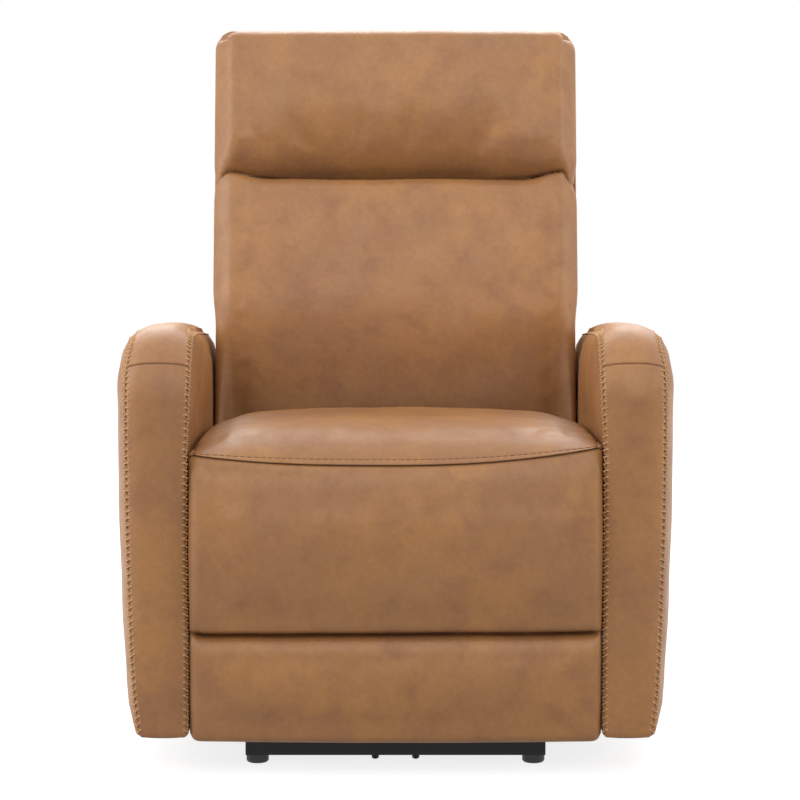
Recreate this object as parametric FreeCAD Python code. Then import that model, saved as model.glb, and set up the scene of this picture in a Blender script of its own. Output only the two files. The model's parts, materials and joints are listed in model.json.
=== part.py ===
import FreeCAD, Part

# Wall hugger recliner: a leather chair whose body rolls forward on a steel floor base as its
# back goes down, so that the top of the back stays close to the wall.
#
# Row frame: +X to the right as one faces the chair, +Y to the back, +Z up. The origin is on the
# floor, under the middle of the chair. Pieces are drawn with the front of the leg rest at Y = 0,
# and export_node moves them forward by half of the depth. All sizes are in millimetres.
import math
import os

Vector = FreeCAD.Vector

# ---------------------------------------------------------------- driving dimensions
SEAT_WIDTH = 562.0  # between the arms
ARM_WIDTH = 101.0
ARM_LENGTH = 748.0
ARM_FRONT = 12.0  # how far the arm's front stands behind the leg rest's
ARM_BOTTOM = 52.0
ARM_HEIGHT = 603.0  # crest of the arm, at its nose
ARM_FALL = 4.0  # degrees that the arm's top falls to the back
ARM_NOSE_RADIUS = 100.0
ARM_CROWN_RADIUS = 42.0
ARM_SHOULDER_RADIUS = 54.0  # the crown's outer side, fuller than its inner one
ARM_CORNER_RADIUS = 14.0
ARM_SWELL = 30.0  # how far the outer side rounds in by the front edge
ARM_SWELL_RUN = 110.0  # the length over which it does
ARM_TAPER = 10.0  # how far the outer side draws in by the foot
ARM_TAPER_TOP = 425.0  # the height where that begins
ARM_REAR_RADIUS = 45.0
ARM_FOOT_RADIUS = 22.0
ARM_FOAM = 15.0  # padding between the arm's frame and its leather
ARM_TOP_FOAM = 42.0
PANEL = 12.0  # plywood of the arm frames

SIDE_GAP = 2.2  # between an arm and what moves beside it
FIT_GAP = 0.3  # between soft pieces, or between a pad and a rail

SEAT_DEPTH = 520.0
SEAT_FRONT_HEIGHT = 431.0  # seam over the leg rest
SEAT_TILT = 9.0  # rear edge of the seat over its front seam
SEAT_RISE = 32.0  # crest of the seat over its front seam
SEAT_CREST_DEPTH = 120.0
SEAT_CROWN = 30.0  # how far the seat's top falls from its middle to its sides
SEAT_BOW = 14.0  # how far the seat's front falls back from its middle to its sides
SEAT_FOAM_FRONT = 59.0  # front seam over the top of the seat box
SEAT_FOAM_REAR = 97.0

BACK_LEAN = 14.0  # degrees
CUSHION_THICK = 138.0
BACK_THICK = 230.0
BACK_BOTTOM = -85.0  # along the back, from the seat's rear edge
HEAD_SEAM = 368.0
BACK_TOP = 611.0
HEAD_BULGE = 12.0
CUSHION_BULGE = 10.0  # how far a back cushion's front swells between its ends
CUSHION_RADIUS = 26.0
SHELL_WALL = 12.0
SHELL_BOTTOM = -160.0
STILE = 24.0
FRAME_THICK = 32.0
RAIL_HIGH = 32.0
WEBBING_THICK = 2.0
WEBBING_WIDE = 50.0

REST_BOTTOM = 55.0  # leg rest, closed
REST_CREASE = 195.0
REST_THICK = 70.0
REST_FRONT = 2.0
REST_AXIS_Y = 20.0
REST_BOW = 12.0  # how far the leg rest's front falls back from its middle to its sides
REST_BOARD = 15.0
REST_TOE_RADIUS = 16.0
REST_MARGIN = 17.0  # pad beyond the board's edges

RAIL_THICK = 24.0  # wood of the seat box
BOX_BOTTOM = 215.0
FRONT_RAIL_HIGH = 26.0
REAR_RAIL_HIGH = 51.0
SWING_GAP = 8.0  # between the leg rest's back and the seat box
ARM_BOLT_INSET = 24.0  # front arm bolt, behind the seat box's front

STEEL = 3.0
WINDOW_RADIUS = 17.0  # lightening holes in the side plates
LAYER_GAP = 2.5  # between links that lie side by side
FACE_PLAY = 0.2  # between a link's face and its rivet's head or collar
LINK_WIDTH = 26.0
BRACKET_TAIL = 70.0  # leg rest bracket below its lower pin
FLANGE = 25.0
PIN_RADIUS = 5.0
BACK_PIN_RADIUS = 6.0
PIN_PLAY = 0.1
HEAD_RIM = 3.0
HEAD_THICK = 1.8
PIN_P = (75.0, -85.0)  # upper link pins, from each turning centre
PIN_Q = (75.0, -165.0)  # lower link pins
LINK_REACH = 150.0  # from the leg rest's turning axis back to the front links' and on to the rear ones'
LINK_DROP = 110.0
TORQUE_RADIUS = 11.0
TORQUE_BORE = 9.2

PIVOT_BEHIND = 90.0  # back pivot, behind the seat's rear edge
PIVOT_BELOW = 140.0
RECLINE = 32.0  # degrees
BAR_RADIUS = 8.0

BASE_HALF = 207.0  # half the length of the floor base's cross tubes
TUBE = 20.0
TUBE_WALL = 1.6
GLIDE_HEIGHT = 12.0
GLIDE_RADIUS = 15.5
GLIDE_X = 191.0
BASE_BEHIND = 40.0  # rear cross tube's back, behind the back pivot
CHANNEL_OUT = 195.0
CHANNEL_WIDE = 30.0
CHANNEL_HIGH = 30.0
ROLLER_WIDE = 16.0
ROLLER_PLAY = 0.3
AXLE_RADIUS = 4.0
SLIDE = 200.0
CROSS_TUBE = 25.0
CROSS_Z = 75.0
FRONT_ROLLER_Y = 340.0
ROLLER_BEFORE = 10.0  # rear rollers, before the back pivot

TRACK_Z = 140.0
TRACK_HIGH = 25.0
TRACK_WIDE = 32.0
TRACK_WALL = 2.0
BAR_ABOVE = 44.0  # the back's drive bar, over the track's underside
SCREW_RADIUS = 5.0
BOLT_SPACING = 56.0
BOLT_RADIUS = 3.0
BRACKET_SETBACK = 22.0
BRACKET_HIGH = 40.0
BRACKET_PAD = 18.0
REST_CRANK = 62.0
REST_DRIVE_X = 95.0
SLOT_PLAY = 1.6

SWITCH_Y = 235.0
SWITCH_Z = 455.0
SWITCH_LONG = 86.0
SWITCH_HIGH = 36.0
SWITCH_DEEP = 22.0
BUTTON_RADIUS = 9.0
BUTTON_TRAVEL = 1.5

# ---------------------------------------------------------------- sizes worked out from them
ARM_IN = SEAT_WIDTH / 2
ARM_OUT = ARM_IN + ARM_WIDTH
PAD_HALF = ARM_IN - SIDE_GAP  # half width of the cushions between the arms
BOX_IN = ARM_IN - RAIL_THICK
PLATE_IN = BOX_IN - STEEL
LINK_OUT = PLATE_IN - LAYER_GAP
LINK_IN = LINK_OUT - STEEL
STRAP_OUT = LINK_IN - LAYER_GAP
STRAP_IN = STRAP_OUT - STEEL
REST_RADIUS = REST_AXIS_Y - REST_FRONT
REST_TOP = SEAT_FRONT_HEIGHT - 1.0
REST_AXIS = (REST_AXIS_Y, REST_TOP - REST_RADIUS)
REST_REAR = REST_FRONT + REST_THICK
SEAT_CREST = SEAT_FRONT_HEIGHT + SEAT_RISE
SEAT_REAR_HEIGHT = SEAT_FRONT_HEIGHT + SEAT_TILT
DECK_FRONT = SEAT_FRONT_HEIGHT - SEAT_FOAM_FRONT  # top of the seat box
DECK_REAR = SEAT_REAR_HEIGHT - SEAT_FOAM_REAR
BOX_FRONT = REST_REAR + SWING_GAP
BOX_REAR = SEAT_DEPTH + 10.0
REAR_RAIL_Y = SEAT_DEPTH - RAIL_THICK
FRONT_RAIL_BOTTOM = DECK_FRONT - FRONT_RAIL_HIGH
REAR_RAIL_BOTTOM = DECK_REAR - REAR_RAIL_HIGH
FRONT_CENTRE = (REST_AXIS[0] + LINK_REACH, REST_AXIS[1] - LINK_DROP)
REAR_CENTRE = (FRONT_CENTRE[0] + LINK_REACH, FRONT_CENTRE[1])
LEAN = math.radians(BACK_LEAN)
TOTAL_DEPTH = SEAT_DEPTH + BACK_TOP * math.sin(LEAN) + BACK_THICK * math.cos(LEAN)
LEVER_ANGLE = math.radians(RECLINE / 2)
BACK_PIVOT = (SEAT_DEPTH + PIVOT_BEHIND, SEAT_REAR_HEIGHT - PIVOT_BELOW)
LEVER_DROP = BACK_PIVOT[1] - TRACK_Z - BAR_ABOVE
LEVER = LEVER_DROP / math.cos(LEVER_ANGLE)
BAR = (BACK_PIVOT[0] + LEVER_DROP * math.tan(LEVER_ANGLE), BACK_PIVOT[1] - LEVER_DROP)
BASE_FRONT = BOX_FRONT
BASE_REAR = BACK_PIVOT[0] + BASE_BEHIND
REAR_ROLLER_Y = BACK_PIVOT[0] - ROLLER_BEFORE
CHANNEL_IN = CHANNEL_OUT - CHANNEL_WIDE
CHANNEL_Z = GLIDE_HEIGHT + TUBE
ROLLER_RADIUS = CHANNEL_HIGH / 2 - STEEL - ROLLER_PLAY
ROLLER_Z = CHANNEL_Z + CHANNEL_HIGH / 2
HANGER_IN = CHANNEL_OUT + 4.0
FAR = 2 * TOTAL_DEPTH  # past any edge of the chair
ARM_BOLTS = [
    (BOX_FRONT + ARM_BOLT_INSET, BOX_BOTTOM + 30),
    (REAR_RAIL_Y - 18, REAR_RAIL_BOTTOM + 26),
]


# ---------------------------------------------------------------- helpers
def box(x0, x1, y0, y1, z0, z1):
    """A block between two corners."""
    return Part.makeBox(x1 - x0, y1 - y0, z1 - z0, Vector(x0, y0, z0))


def rod_x(x0, x1, centre, radius):
    """A round bar along X; centre is its (y, z)."""
    return Part.makeCylinder(radius, x1 - x0, Vector(x0, *centre), Vector(1, 0, 0))


def rod_y(y0, y1, x, z, radius):
    return Part.makeCylinder(radius, y1 - y0, Vector(x, y0, z), Vector(0, 1, 0))


def rod_z(z0, z1, x, y, radius):
    return Part.makeCylinder(radius, z1 - z0, Vector(x, y, z0), Vector(0, 0, 1))


def prism_x(outline, x0, x1):
    """A side outline of (y, z) corners, carried across from x0 to x1."""
    corners = [Vector(x0, y, z) for y, z in outline]
    face = Part.Face(Part.makePolygon(corners + corners[:1]))
    return face.extrude(Vector(x1 - x0, 0, 0))


def edges_x(shape, points):
    """The straight edges along X that pass through the given (y, z) points."""
    found = []
    for edge in shape.Edges:
        a = edge.Vertexes[0].Point
        b = edge.Vertexes[-1].Point
        if abs(a.y - b.y) > 1e-6 or abs(a.z - b.z) > 1e-6:
            continue
        if any(abs(a.y - y) < 1e-6 and abs(a.z - z) < 1e-6 for y, z in points):
            found.append(edge)
    return found


def mirrored(shape):
    """The same piece for the other side of the chair."""
    return shape.mirror(Vector(0, 0, 0), Vector(1, 0, 0))


def shifted(point, offset):
    return (point[0] + offset[0], point[1] + offset[1])


def capsule(a, b, width, x0, x1):
    """A flat bar with round ends between two (y, z) points."""
    r = width / 2
    dy = b[0] - a[0]
    dz = b[1] - a[1]
    length = math.hypot(dy, dz)
    uy = dy / length
    uz = dz / length
    side = (-uz * r, uy * r)
    a1 = Vector(x0, a[0] + side[0], a[1] + side[1])
    a2 = Vector(x0, a[0] - side[0], a[1] - side[1])
    b1 = Vector(x0, b[0] + side[0], b[1] + side[1])
    b2 = Vector(x0, b[0] - side[0], b[1] - side[1])
    a_tip = Vector(x0, a[0] - uy * r, a[1] - uz * r)
    b_tip = Vector(x0, b[0] + uy * r, b[1] + uz * r)
    edges = [
        Part.Arc(a2, a_tip, a1).toShape(),
        Part.LineSegment(a1, b1).toShape(),
        Part.Arc(b1, b_tip, b2).toShape(),
        Part.LineSegment(b2, a2).toShape(),
    ]
    return Part.Face(Part.Wire(edges)).extrude(Vector(x1 - x0, 0, 0))


def link(points, x0, x1, width=LINK_WIDTH):
    """A pressed steel link through two or more pivot points."""
    shape = capsule(points[0], points[1], width, x0, x1)
    for a, b in zip(points[1:], points[2:]):
        shape = shape.fuse(capsule(a, b, width, x0, x1))
    return shape.removeSplitter()


def drilled(shape, centres, radius, x0, x1):
    """The shape with round holes along X."""
    for centre in centres:
        shape = shape.cut(rod_x(x0 - 1, x1 + 1, centre, radius))
    return shape


def rivet(x_root, x_face, centre, radius=PIN_RADIUS):
    """A pin from x_root inwards, with a head beyond the link's face and a spacer collar at its root."""
    collar = rod_x(x_root - LAYER_GAP + FACE_PLAY, x_root, centre, radius + HEAD_RIM)
    shank = rod_x(x_face - FACE_PLAY, x_root, centre, radius)
    head = rod_x(x_face - FACE_PLAY - HEAD_THICK, x_face - FACE_PLAY, centre, radius + HEAD_RIM)
    return collar.fuse(shank).fuse(head)


def tube_x(half, y, z, size, wall):
    """A square tube across the chair; y and z are its low corner."""
    outer = box(-half, half, y, y + size, z, z + size)
    inner = box(-half - 1, half + 1, y + wall, y + size - wall, z + wall, z + size - wall)
    return outer.cut(inner)


def lean(shape):
    """Turns a piece drawn upright at the seat's rear edge to the back's rest angle."""
    shape.rotate(Vector(0, SEAT_DEPTH, SEAT_REAR_HEIGHT), Vector(1, 0, 0), -BACK_LEAN)
    return shape


def back_box(x0, x1, v0, v1, w0, w1):
    """A block on the back: v is the depth behind its front, w the height along it."""
    return box(x0, x1, SEAT_DEPTH + v0, SEAT_DEPTH + v1, SEAT_REAR_HEIGHT + w0, SEAT_REAR_HEIGHT + w1)


def export_node(name, shape):
    """Writes one node's solids, moved so that the origin is under the middle of the chair."""
    shape = shape.copy()
    shape.translate(Vector(0, -TOTAL_DEPTH / 2, 0))
    shape.exportStep("parts/" + name + ".step")


def bowed_plan(half, front, rear, bow, z0, z1):
    """A block whose front, seen from above, is an arc that falls back by bow at its sides."""
    p = [
        Vector(-half, front + bow, z0),
        Vector(0, front, z0),
        Vector(half, front + bow, z0),
        Vector(half, rear, z0),
        Vector(-half, rear, z0),
    ]
    edges = [
        Part.Arc(p[0], p[1], p[2]).toShape(),
        Part.LineSegment(p[2], p[3]).toShape(),
        Part.LineSegment(p[3], p[4]).toShape(),
        Part.LineSegment(p[4], p[0]).toShape(),
    ]
    return Part.Face(Part.Wire(edges)).extrude(Vector(0, 0, z1 - z0))


# ---------------------------------------------------------------- arms
def arm_outline(front, rear, bottom, top):
    """The arm's side outline; top is its height at the front."""
    fall = (rear - front) * math.tan(math.radians(ARM_FALL))
    return [(front, bottom), (rear, bottom), (rear, top - fall), (front, top)]


def arm_body():
    """The padded arm on the +X side, before it is hollowed."""
    front = ARM_FRONT
    rear = ARM_FRONT + ARM_LENGTH
    outline = arm_outline(front, rear, ARM_BOTTOM, ARM_HEIGHT)
    side = prism_x(outline, ARM_IN, ARM_OUT)
    radii = [ARM_FOOT_RADIUS, ARM_FOOT_RADIUS, ARM_REAR_RADIUS, ARM_NOSE_RADIUS]
    for corner, radius in zip(outline, radii):
        side = side.makeFillet(radius, edges_x(side, [corner]))
    plan = arm_plan(front, rear)
    uprights = [e for e in plan.Edges if abs(e.Vertexes[0].Z - e.Vertexes[-1].Z) > 1]
    corners = [e for e in uprights if abs(e.Vertexes[0].Y - front - ARM_SWELL_RUN) > 1]
    plan = plan.makeFillet(ARM_CORNER_RADIUS, corners)
    return side.common(plan).common(arm_crown(front, rear)).common(arm_taper(front, rear))


def arm_plan(front, rear):
    """The arm seen from above: its outer side rounds in to the front on an arc."""
    radius = (ARM_SWELL**2 + ARM_SWELL_RUN**2) / (2 * ARM_SWELL)
    half_turn = math.asin(ARM_SWELL_RUN / radius) / 2
    start = Vector(ARM_OUT - ARM_SWELL, front, ARM_BOTTOM)
    middle = Vector(
        ARM_OUT - radius + radius * math.cos(half_turn),
        front + ARM_SWELL_RUN - radius * math.sin(half_turn),
        ARM_BOTTOM,
    )
    end = Vector(ARM_OUT, front + ARM_SWELL_RUN, ARM_BOTTOM)
    rear_out = Vector(ARM_OUT, rear, ARM_BOTTOM)
    rear_in = Vector(ARM_IN, rear, ARM_BOTTOM)
    front_in = Vector(ARM_IN, front, ARM_BOTTOM)
    edges = [
        Part.LineSegment(front_in, start).toShape(),
        Part.Arc(start, middle, end).toShape(),
        Part.LineSegment(end, rear_out).toShape(),
        Part.LineSegment(rear_out, rear_in).toShape(),
        Part.LineSegment(rear_in, front_in).toShape(),
    ]
    face = Part.Face(Part.Wire(edges))
    return face.extrude(Vector(0, 0, ARM_HEIGHT + 1 - ARM_BOTTOM))


def arm_taper(front, rear):
    """The arm's end outline, whose outer side draws in to the foot."""
    corners = [
        Vector(ARM_OUT, front, ARM_HEIGHT + 1),
        Vector(ARM_IN, front, ARM_HEIGHT + 1),
        Vector(ARM_IN, front, ARM_BOTTOM),
        Vector(ARM_OUT - ARM_TAPER, front, ARM_BOTTOM),
        Vector(ARM_OUT, front, ARM_TAPER_TOP),
    ]
    face = Part.Face(Part.makePolygon(corners + corners[:1]))
    return face.extrude(Vector(0, rear - front, 0))


def arm_crown(front, rear):
    """The arm's end outline, round at its top, carried back along the falling top."""
    inner = ARM_CROWN_RADIUS
    outer = ARM_SHOULDER_RADIUS
    slant = 1 - math.sqrt(0.5)
    top = ARM_HEIGHT
    low = ARM_BOTTOM
    p = [
        Vector(ARM_IN, front, low),
        Vector(ARM_IN, front, top - inner),
        Vector(ARM_IN + inner * slant, front, top - inner * slant),
        Vector(ARM_IN + inner, front, top),
        Vector(ARM_OUT - outer, front, top),
        Vector(ARM_OUT - outer * slant, front, top - outer * slant),
        Vector(ARM_OUT, front, top - outer),
        Vector(ARM_OUT, front, low),
    ]
    edges = [
        Part.LineSegment(p[0], p[1]).toShape(),
        Part.Arc(p[1], p[2], p[3]).toShape(),
        Part.LineSegment(p[3], p[4]).toShape(),
        Part.Arc(p[4], p[5], p[6]).toShape(),
        Part.LineSegment(p[6], p[7]).toShape(),
        Part.LineSegment(p[7], p[0]).toShape(),
    ]
    length = rear - front
    fall = length * math.tan(math.radians(ARM_FALL))
    crown = Part.Face(Part.Wire(edges)).extrude(Vector(0, length, -fall))
    lower = box(ARM_IN, ARM_OUT, front, rear, low, low + ARM_HEIGHT / 2)
    return crown.fuse(lower)


FRAME_IN = ARM_IN + ARM_FOAM
FRAME_OUT = ARM_OUT - ARM_SWELL - ARM_TAPER / 2
FRAME_FRONT = ARM_FRONT + ARM_FOAM
FRAME_REAR = ARM_FRONT + ARM_LENGTH - ARM_FOAM


def arm_hollow():
    """The space in the arm that its wooden frame fills."""
    outline = arm_outline(FRAME_FRONT, FRAME_REAR, ARM_BOTTOM, ARM_HEIGHT - ARM_TOP_FOAM)
    core = prism_x(outline, FRAME_IN, FRAME_OUT)
    nose = edges_x(core, [outline[3]])
    return core.makeChamfer(ARM_NOSE_RADIUS * 0.6, nose)


def arm_cover():
    """Leather and foam over the arm's frame, open underneath."""
    cover = arm_body().cut(arm_hollow())
    return drilled(cover, ARM_BOLTS, AXLE_RADIUS + PIN_PLAY, ARM_IN, FRAME_IN)


def arm_frame():
    """Two plywood sides on a ring of battens, as separate boards."""
    core = arm_hollow()
    inner = core.common(box(FRAME_IN, FRAME_IN + PANEL, -FAR, FAR, 0, FAR))
    outer = core.common(box(FRAME_OUT - PANEL, FRAME_OUT, -FAR, FAR, 0, FAR))
    inner = drilled(inner, ARM_BOLTS, AXLE_RADIUS + PIN_PLAY, FRAME_IN, FRAME_IN + PANEL)
    middle = core.common(box(FRAME_IN + PANEL, FRAME_OUT - PANEL, -FAR, FAR, 0, FAR))
    hollow_outline = arm_outline(
        FRAME_FRONT + RAIL_THICK,
        FRAME_REAR - RAIL_THICK,
        ARM_BOTTOM + RAIL_THICK,
        ARM_HEIGHT - ARM_TOP_FOAM - RAIL_THICK,
    )
    hollow = prism_x(hollow_outline, FRAME_IN, FRAME_OUT)
    hollow = hollow.makeChamfer(ARM_NOSE_RADIUS * 0.6, edges_x(hollow, [hollow_outline[3]]))
    return Part.Compound([inner, outer, middle.cut(hollow)])


def arm_bolts():
    """Bolts that hold both arms to the seat box."""
    bolts = []
    for centre in ARM_BOLTS:
        shank = rod_x(BOX_IN, FRAME_IN + PANEL, centre, AXLE_RADIUS)
        head = rod_x(BOX_IN - 3, BOX_IN, centre, AXLE_RADIUS * 2)
        bolt = shank.fuse(head)
        bolts += [bolt, mirrored(bolt)]
    return Part.Compound(bolts)


# ---------------------------------------------------------------- switch on the -X arm
def switch_pocket():
    """The space that the switch box takes in the arm's side, on the +X side before mirroring."""
    half = SWITCH_LONG / 2 - 4
    high = SWITCH_HIGH / 2 - 4
    return box(
        ARM_OUT - SWITCH_DEEP, ARM_OUT + 1, SWITCH_Y - half, SWITCH_Y + half, SWITCH_Z - high, SWITCH_Z + high
    )


def switch_buttons_at():
    """The (y, z) centres of the two buttons."""
    return [(SWITCH_Y - SWITCH_LONG / 5, SWITCH_Z), (SWITCH_Y + SWITCH_LONG / 5, SWITCH_Z)]


def switch_box():
    """Plastic box let into the arm, with a rounded face plate and two round wells."""
    r = SWITCH_HIGH / 2
    a = (SWITCH_Y - SWITCH_LONG / 2 + r, SWITCH_Z)
    b = (SWITCH_Y + SWITCH_LONG / 2 - r, SWITCH_Z)
    plate = capsule(a, b, SWITCH_HIGH, ARM_OUT, ARM_OUT + 2.5)
    pocket = switch_pocket()
    body = pocket.common(box(0, ARM_OUT, -FAR, FAR, 0, FAR))
    well = BUTTON_RADIUS + 0.4
    return drilled(plate.fuse(body), switch_buttons_at(), well, ARM_OUT - 10, ARM_OUT + 3)


def switch_button(centre):
    """A button with a low dome edge, seated in its well with room for its travel."""
    button = rod_x(ARM_OUT - 9 + BUTTON_TRAVEL, ARM_OUT + 4.5, centre, BUTTON_RADIUS)
    rim = max(button.Edges, key=lambda e: e.CenterOfMass.x)
    return button.makeFillet(1.2, [rim])


# ---------------------------------------------------------------- seat
def deck_height(y):
    """Top of the seat box at a depth y."""
    share = (y - BOX_FRONT) / (BOX_REAR - BOX_FRONT)
    return DECK_FRONT + (DECK_REAR - DECK_FRONT) * share


SPRING_WIRE = 2.0


def seat_cushion():
    """The seat's foam and leather: a rounded nose over the leg rest, and a crowned top."""
    bottom = 2 * SPRING_WIRE + FIT_GAP
    front = Vector(0, 3, SEAT_FRONT_HEIGHT)
    nose = Vector(0, 33, SEAT_FRONT_HEIGHT + 0.68 * (SEAT_CREST - SEAT_FRONT_HEIGHT))
    crest = Vector(0, SEAT_CREST_DEPTH, SEAT_CREST)
    gap = SIDE_GAP + FIT_GAP
    rear_top = Vector(0, SEAT_DEPTH - gap, SEAT_REAR_HEIGHT)
    rear_low_y = SEAT_DEPTH - gap + (BACK_BOTTOM + 5) * math.sin(LEAN)
    rear_low = Vector(0, rear_low_y, deck_height(rear_low_y) + bottom)
    front_low = Vector(0, BOX_FRONT, deck_height(BOX_FRONT) + bottom)
    step = Vector(0, BOX_FRONT, SEAT_FRONT_HEIGHT)
    middle = Vector(0, (crest.y + rear_top.y) / 2, (crest.z + rear_top.z) / 2 + 3)
    edges = [
        Part.Arc(front, nose, crest).toShape(),
        Part.Arc(crest, middle, rear_top).toShape(),
        Part.LineSegment(rear_top, rear_low).toShape(),
        Part.LineSegment(rear_low, front_low).toShape(),
        Part.LineSegment(front_low, step).toShape(),
        Part.LineSegment(step, front).toShape(),
    ]
    half = ARM_IN - 1
    face = Part.Face(Part.Wire(edges))
    face.translate(Vector(-half, 0, 0))
    side = face.extrude(Vector(2 * half, 0, 0))
    side_top = SEAT_CREST - SEAT_CROWN
    crown_edges = [
        Part.Arc(Vector(-half, 0, side_top), Vector(0, 0, SEAT_CREST + 3), Vector(half, 0, side_top)).toShape(),
        Part.LineSegment(Vector(half, 0, side_top), Vector(half, 0, DECK_REAR - 10)).toShape(),
        Part.LineSegment(Vector(half, 0, DECK_REAR - 10), Vector(-half, 0, DECK_REAR - 10)).toShape(),
        Part.LineSegment(Vector(-half, 0, DECK_REAR - 10), Vector(-half, 0, side_top)).toShape(),
    ]
    crown = Part.Face(Part.Wire(crown_edges)).extrude(Vector(0, SEAT_DEPTH + 10, 0))
    return side.common(crown).common(bowed_plan(half, 0, SEAT_DEPTH + 10, SEAT_BOW, 0, SEAT_CREST + 10))


def box_side():
    """Wooden side rail of the seat box, drilled for the arm bolts."""
    outline = [
        (BOX_FRONT, BOX_BOTTOM),
        (BOX_REAR, BOX_BOTTOM),
        (BOX_REAR, deck_height(BOX_REAR)),
        (BOX_FRONT, deck_height(BOX_FRONT)),
    ]
    rail = prism_x(outline, BOX_IN, ARM_IN)
    return drilled(rail, ARM_BOLTS, AXLE_RADIUS + PIN_PLAY, BOX_IN, ARM_IN)


def box_cross(y, bottom):
    """A cross rail of the seat box between its sides."""
    outline = [
        (y, bottom),
        (y + RAIL_THICK, bottom),
        (y + RAIL_THICK, deck_height(y + RAIL_THICK)),
        (y, deck_height(y)),
    ]
    return prism_x(outline, -BOX_IN, BOX_IN)


def seat_box_rails():
    """Front and rear rails of the seat box."""
    return Part.Compound([box_cross(BOX_FRONT, FRONT_RAIL_BOTTOM), box_cross(REAR_RAIL_Y, REAR_RAIL_BOTTOM)])


SPRING_COUNT = 4
SPRING_LOOPS = 7
SPRING_SPAN = 44.0


def seat_springs():
    """Zigzag springs from the front rail to the rear rail, drawn flat and tipped to the seat box's slope."""
    start = BOX_FRONT + RAIL_THICK / 2
    run = REAR_RAIL_Y + RAIL_THICK / 2 - start
    fall = deck_height(start) - deck_height(start + run)
    pitch = math.hypot(run, fall) / SPRING_LOOPS
    springs = []
    for index in range(SPRING_COUNT):
        x = (index - (SPRING_COUNT - 1) / 2) * (2 * BOX_IN - 2 * SPRING_SPAN) / SPRING_COUNT
        spring = zigzag(x, pitch)
        spring.rotate(Vector(0, 0, 0), Vector(1, 0, 0), -math.degrees(math.atan2(fall, run)))
        spring.translate(Vector(0, start, deck_height(start)))
        springs.append(spring)
    return Part.Compound(springs)


def zigzag(x, pitch):
    """One spring: half rings left and right in turn, joined by straight runs; its wire has six sides."""
    radius = pitch / 2
    run = SPRING_SPAN / 2
    z = SPRING_WIRE
    edges = []
    for loop in range(SPRING_LOOPS):
        side = 1 if loop % 2 == 0 else -1
        y = loop * pitch
        near = Vector(x + side * run, y, z)
        tip = Vector(x + side * (run + radius), y + radius, z)
        far = Vector(x + side * run, y + pitch, z)
        first = Vector(x if loop == 0 else x - side * run, y, z)
        edges.append(Part.LineSegment(first, near).toShape())
        edges.append(Part.Arc(near, tip, far).toShape())
    edges.append(Part.LineSegment(far, Vector(x, far.y, z)).toShape())
    corners = []
    for k in range(6):
        turn = math.radians(30 + 60 * k)
        corners.append(Vector(x, SPRING_WIRE * math.cos(turn), z + SPRING_WIRE * math.sin(turn)))
    ring = Part.makePolygon(corners + corners[:1])
    return Part.Wire(edges).makePipeShell([ring], True, False, 1)


# ---------------------------------------------------------------- back
def cushion_block(front, low, swell, high, corner):
    """A cushion across the back: its front swells from a height on, and its front edges are round."""
    y = SEAT_DEPTH + front
    rear = SEAT_DEPTH + CUSHION_THICK
    z0 = SEAT_REAR_HEIGHT + low
    zs = SEAT_REAR_HEIGHT + swell
    z1 = SEAT_REAR_HEIGHT + high
    flat = box(-PAD_HALF, PAD_HALF, y, rear, z0, z1)
    bow = Part.Arc(
        Vector(-PAD_HALF, y, zs), Vector(-PAD_HALF, y - CUSHION_BULGE, (zs + z1) / 2), Vector(-PAD_HALF, y, z1)
    )
    back = Part.LineSegment(Vector(-PAD_HALF, y, z1), Vector(-PAD_HALF, y, zs))
    swelling = Part.Face(Part.Wire([bow.toShape(), back.toShape()])).extrude(Vector(2 * PAD_HALF, 0, 0))
    block = flat.fuse(swelling).removeSplitter()
    if corner:
        tops = [e for e in block.Edges if all(abs(v.Z - z1) < 1e-6 for v in e.Vertexes)]
        tops = [e for e in tops if abs(e.Vertexes[0].X - e.Vertexes[-1].X) < 1e-6]
        block = block.makeFillet(corner, tops)
    rounded = [e for e in block.Edges if max(v.Y for v in e.Vertexes) < y + 1e-6]
    return lean(block.makeFillet(CUSHION_RADIUS - 4, rounded))


def back_cushion():
    """Lower back cushion."""
    return cushion_block(0, BACK_BOTTOM, FIT_GAP, HEAD_SEAM, 0)


def head_cushion():
    """Head cushion, which stands a little proud of the lower one and has round top corners."""
    low = HEAD_SEAM + FIT_GAP
    return cushion_block(-HEAD_BULGE, low, low, BACK_TOP, CUSHION_RADIUS + 4)


def outer_back():
    """Leather shell over the back's frame: rear panel, sides and top, open at the front and below."""
    shell = back_box(-PAD_HALF, PAD_HALF, CUSHION_THICK + FIT_GAP, BACK_THICK, SHELL_BOTTOM, BACK_TOP - 4)
    top = SEAT_REAR_HEIGHT + BACK_TOP - 4
    corners = [e for e in shell.Edges if all(abs(v.Z - top) < 1e-6 for v in e.Vertexes)]
    corners = [e for e in corners if abs(e.Vertexes[0].X - e.Vertexes[-1].X) < 1e-6]
    shell = shell.makeFillet(CUSHION_RADIUS, corners)
    rear = SEAT_DEPTH + BACK_THICK
    rims = [e for e in shell.Edges if all(abs(v.Y - rear) < 1e-6 for v in e.Vertexes)]
    rims = [e for e in rims if min(v.Z for v in e.Vertexes) > SEAT_REAR_HEIGHT + SHELL_BOTTOM - 1]
    rims = [e for e in rims if max(v.Z for v in e.Vertexes) > SEAT_REAR_HEIGHT + SHELL_BOTTOM + 1]
    shell = shell.makeFillet(SHELL_WALL, rims)
    inner = PAD_HALF - SHELL_WALL
    hollow = back_box(
        -inner, inner, 0, BACK_THICK - SHELL_WALL, SHELL_BOTTOM - 1, BACK_TOP - 4 - SHELL_WALL
    )
    return lean(shell.cut(hollow))


FRAME_V = CUSHION_THICK + WEBBING_THICK
STILE_OUT = LINK_IN
STILE_IN = STILE_OUT - STILE
FRAME_LOW = -118.0
FRAME_TOP = BACK_TOP - 4 - SHELL_WALL


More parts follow.
